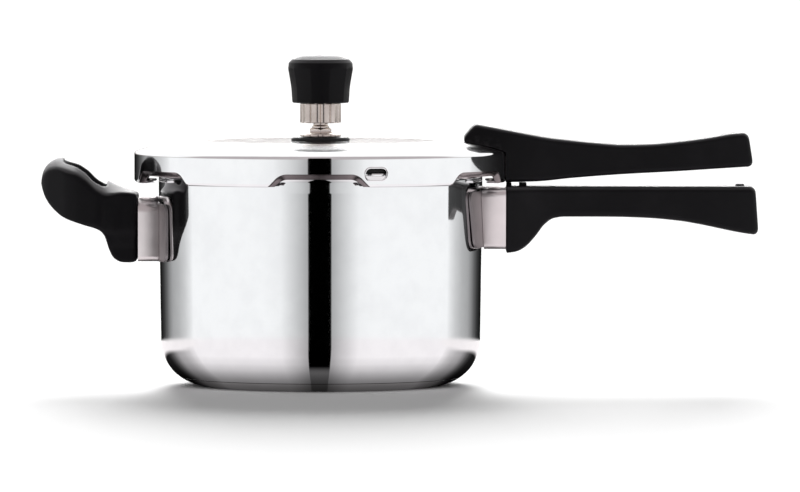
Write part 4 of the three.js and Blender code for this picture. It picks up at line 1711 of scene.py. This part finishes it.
@dataclass
class Studio:
    """The camera, the pale floor, the light tent that polished steel reflects, and the lights."""

    distance: float = 5.0
    elevation: float = 2.3
    frame_width: float = 0.460
    sensor: float = 36.0
    aim_height: float = 0.0798
    tent_radius: float = 450.0
    tent_height: float = 640.0
    surround: float = 0.32
    floor_light: float = 0.9
    bank: Sequence[float] = (11, 17, 23, 30, 37)
    bank_width: float = 18.0

    def build(self) -> None:
        """Builds the whole studio."""
        self.camera()
        self.floor()
        self.tent()
        self.lights()

    def camera(self) -> None:
        """A long lens, a little above the lid."""
        low, high = CAD_BOX
        target = Vector(((low[0] + high[0]) / 2, 0, self.aim_height))
        tilt = math.radians(self.elevation)
        data = bpy.data.cameras.new("camera")
        data.sensor_width = self.sensor
        data.lens = self.sensor * self.distance / self.frame_width
        data.clip_end = 200
        made = bpy.data.objects.new("camera", data)
        made.location = target + self.distance * Vector((0, -math.cos(tilt), math.sin(tilt)))
        made.rotation_euler = (math.radians(90) - tilt, 0, 0)
        bpy.context.scene.collection.objects.link(made)
        bpy.context.scene.camera = made

    def staged(self, name: str, mesh: bmesh.types.BMesh, material: bpy.types.Material) -> bpy.types.Object:
        """Puts a stage mesh in the scene.

        Args:
            name: Its name.
            mesh: The mesh, in millimetres, which is used up.
            material: Its material.

        Returns:
            The stage object.
        """
        bmesh.ops.scale(mesh, verts=mesh.verts, vec=(MM, MM, MM))
        data = bpy.data.meshes.new(name)
        mesh.to_mesh(data)
        mesh.free()
        data.materials.append(material)
        made = bpy.data.objects.new(name, data)
        bpy.context.scene.collection.objects.link(made)
        return made

    def floor(self) -> None:
        """A wide pale floor. Polished steel sees the tent's floor in its place."""
        recipe = Recipe("pale floor")
        recipe.dress(Base_Color=(0.95, 0.95, 0.95, 1), Roughness=0.9, Specular_IOR_Level=0.0)
        mesh = bmesh.new()
        bmesh.ops.create_circle(mesh, cap_ends=True, segments=96, radius=60000)
        bmesh.ops.translate(mesh, verts=mesh.verts, vec=(0, 0, FLOOR_LEVEL))
        floor = self.staged("floor", mesh, recipe.material)
        floor.visible_glossy = False

    def seen_at(self, degrees: float) -> float:
        """Where a reflection that leaves the pot in some direction lands on the tent, from 0 to 1.

        Args:
            degrees: The reflection's direction, with 0 at the front.

        Returns:
            The place on the tent.
        """
        half = math.radians(degrees) / 2
        return (degrees - math.degrees(math.asin(92 / self.tent_radius * math.sin(half)))) / 180

    def tent(self) -> None:
        """A white tent with a dark gap in front and dark flags behind, which only reflections see, and a
        painted shadow on its floor round the pot.
        """
        recipe = Recipe("light tent")
        x, y, z = recipe.axes()
        away = (x * x + y * y) ** 0.5
        bearing = recipe.math("ARCTAN2", recipe.math("ABSOLUTE", x), 0 - y) * (1 / math.pi)
        ground = z.mask(0.004, 0.001)
        foot = 0.089
        spread = recipe.math("MINIMUM", 1.8 * away * (2 * away - foot) ** -1, 2.0)
        close = (1 - away.mask(foot, 0.102)) * ground
        skirt_zone = z.mask(0.094, 0.1) * (1 - bearing.mask(0.06, 0.12))
        bearing = bearing * (1 + ground * (spread - 1) + skirt_zone * 0.16)
        grey = [
            (8, 0.43), (10, 0.465), (16, 0.63), (22, 0.79), (28, 0.95), (40, 1), (104, 1), (107, 0.87),
            (114, 0.66), (123, 0.5), (133, 0.4), (145, 0.13), (153, 0.045), (162, 0.012), (180, 0.008),
        ]
        stops = [(self.seen_at(turn), (value * 0.99, value, value * 1.01)) for turn, value in grey]
        around = recipe.node("ShaderNodeValToRGB", {"stops": stops}, {0: bearing}).outputs[0]
        gap = self.seen_at(8.2)
        blur = 0.0015
        gap_glow = 0.45
        clear = bearing.mask(gap - blur, gap + blur)
        open_part = clear + (1 - clear) * close * gap_glow
        # Painted shadow: the tent's floor is dark close to the pot and brightens outwards, standing in for
        # the pot's shadow in what the steel reflects; near and shaded carry it.
        painted_shadow_values = [
            (0.06, 0.05), (0.07, 0.08), (0.075, 0.12), (0.082, 0.24), (0.088, 0.42), (0.094, 0.62),
            (0.105, 0.85), (0.13, 1),
        ]
        edge = self.tent_radius * MM
        painted_shadow_stops = [(r / edge, (value, value * 0.955, value * 0.965)) for r, value in painted_shadow_values]
        near = recipe.node("ShaderNodeValToRGB", {"stops": painted_shadow_stops}, {0: away * (1 / edge)}).outputs[0]
        white = (1.0, 1.0, 1.0)
        shaded = recipe.blend(ground, white, near)
        behind = ground * away.mask(0.14, 0.2) * y.mask(-0.05, 0.05)
        around = recipe.blend(behind, around, white)
        lit = recipe.tinted(recipe.tinted(around, shaded), recipe.vector(open_part, open_part, open_part))
        rear = recipe.blend(z.mask(0.1555, 0.1625), (0.34, 0.31, 0.3), (1.08, 1.08, 1.08))
        upper = recipe.blend(y.mask(-0.12, 0.0), (0.5, 0.46, 0.47), rear)
        top_of_gap = z.mask(0.3, 0.36) + clear.mask(0.4, 0.6) * z.mask(0.128, 0.142)
        colour = recipe.blend(top_of_gap.mask(0.0, 1.0), lit, upper)
        glow = recipe.node("ShaderNodeEmission", inputs={"Color": colour, "Strength": 1.1})
        recipe.tree.links.new(glow.outputs[0], recipe.tree.nodes["Material Output"].inputs[0])
        profile = [
            (0, FLOOR_LEVEL), (self.tent_radius, FLOOR_LEVEL),
            (self.tent_radius, self.tent_height), (0, self.tent_height),
        ]
        tent = self.staged("light_tent", Form.spun(profile, steps=180).mesh, recipe.material)
        for ray in ("camera", "diffuse", "transmission", "volume_scatter", "shadow"):
            setattr(tent, f"visible_{ray}", False)

    def lights(self) -> None:
        """An even white surround and a tall bank of soft lights behind the object."""
        world = bpy.data.worlds.new("surround")
        world.use_nodes = True
        world.node_tree.nodes["Background"].inputs["Color"].default_value = (1, 1, 1, 1)
        world.node_tree.nodes["Background"].inputs["Strength"].default_value = self.surround
        bpy.context.scene.world = world
        for degrees in self.bank:
            elevation = math.radians(degrees)
            data = bpy.data.lights.new("bank", "SUN")
            data.energy = self.floor_light * math.pi / len(self.bank) / math.sin(elevation)
            data.angle = math.radians(self.bank_width)
            light = bpy.data.objects.new("bank", data)
            light.rotation_euler = (elevation - math.pi / 2, 0, 0)
            bpy.context.scene.collection.objects.link(light)
        bpy.context.scene.view_settings.view_transform = "Standard"


def main() -> None:
    """Builds the cooker and its studio."""
    logging.basicConfig(level=logging.INFO, format="%(name)s: %(message)s")
    Studio().build()
    finishes = Finishes()
    Pot(finishes).build()
    WallFitting(
        finishes, "body_handle", facing=1, saddle_top=41, saddle_bottom=33,
        sleeve_top=23.2, sleeve_bottom=15.4, crown=4.0, foot=3.5,
    ).build()
    WallFitting(
        finishes, "helper_handle", facing=-1, saddle_top=35, saddle_bottom=35,
        sleeve_top=21, sleeve_bottom=21, crown=8.0, foot=3.0,
    ).build()
    BodyHandle(finishes).build()
    HelperHandle(finishes).build()
    lid = Lid(finishes)
    lid.build()
    LidHandle(finishes, lid).build()
    Vent(finishes).build()
    Weight(finishes).build()
    SafetyPlug(finishes).build()


if __name__ == "__main__":
    main()
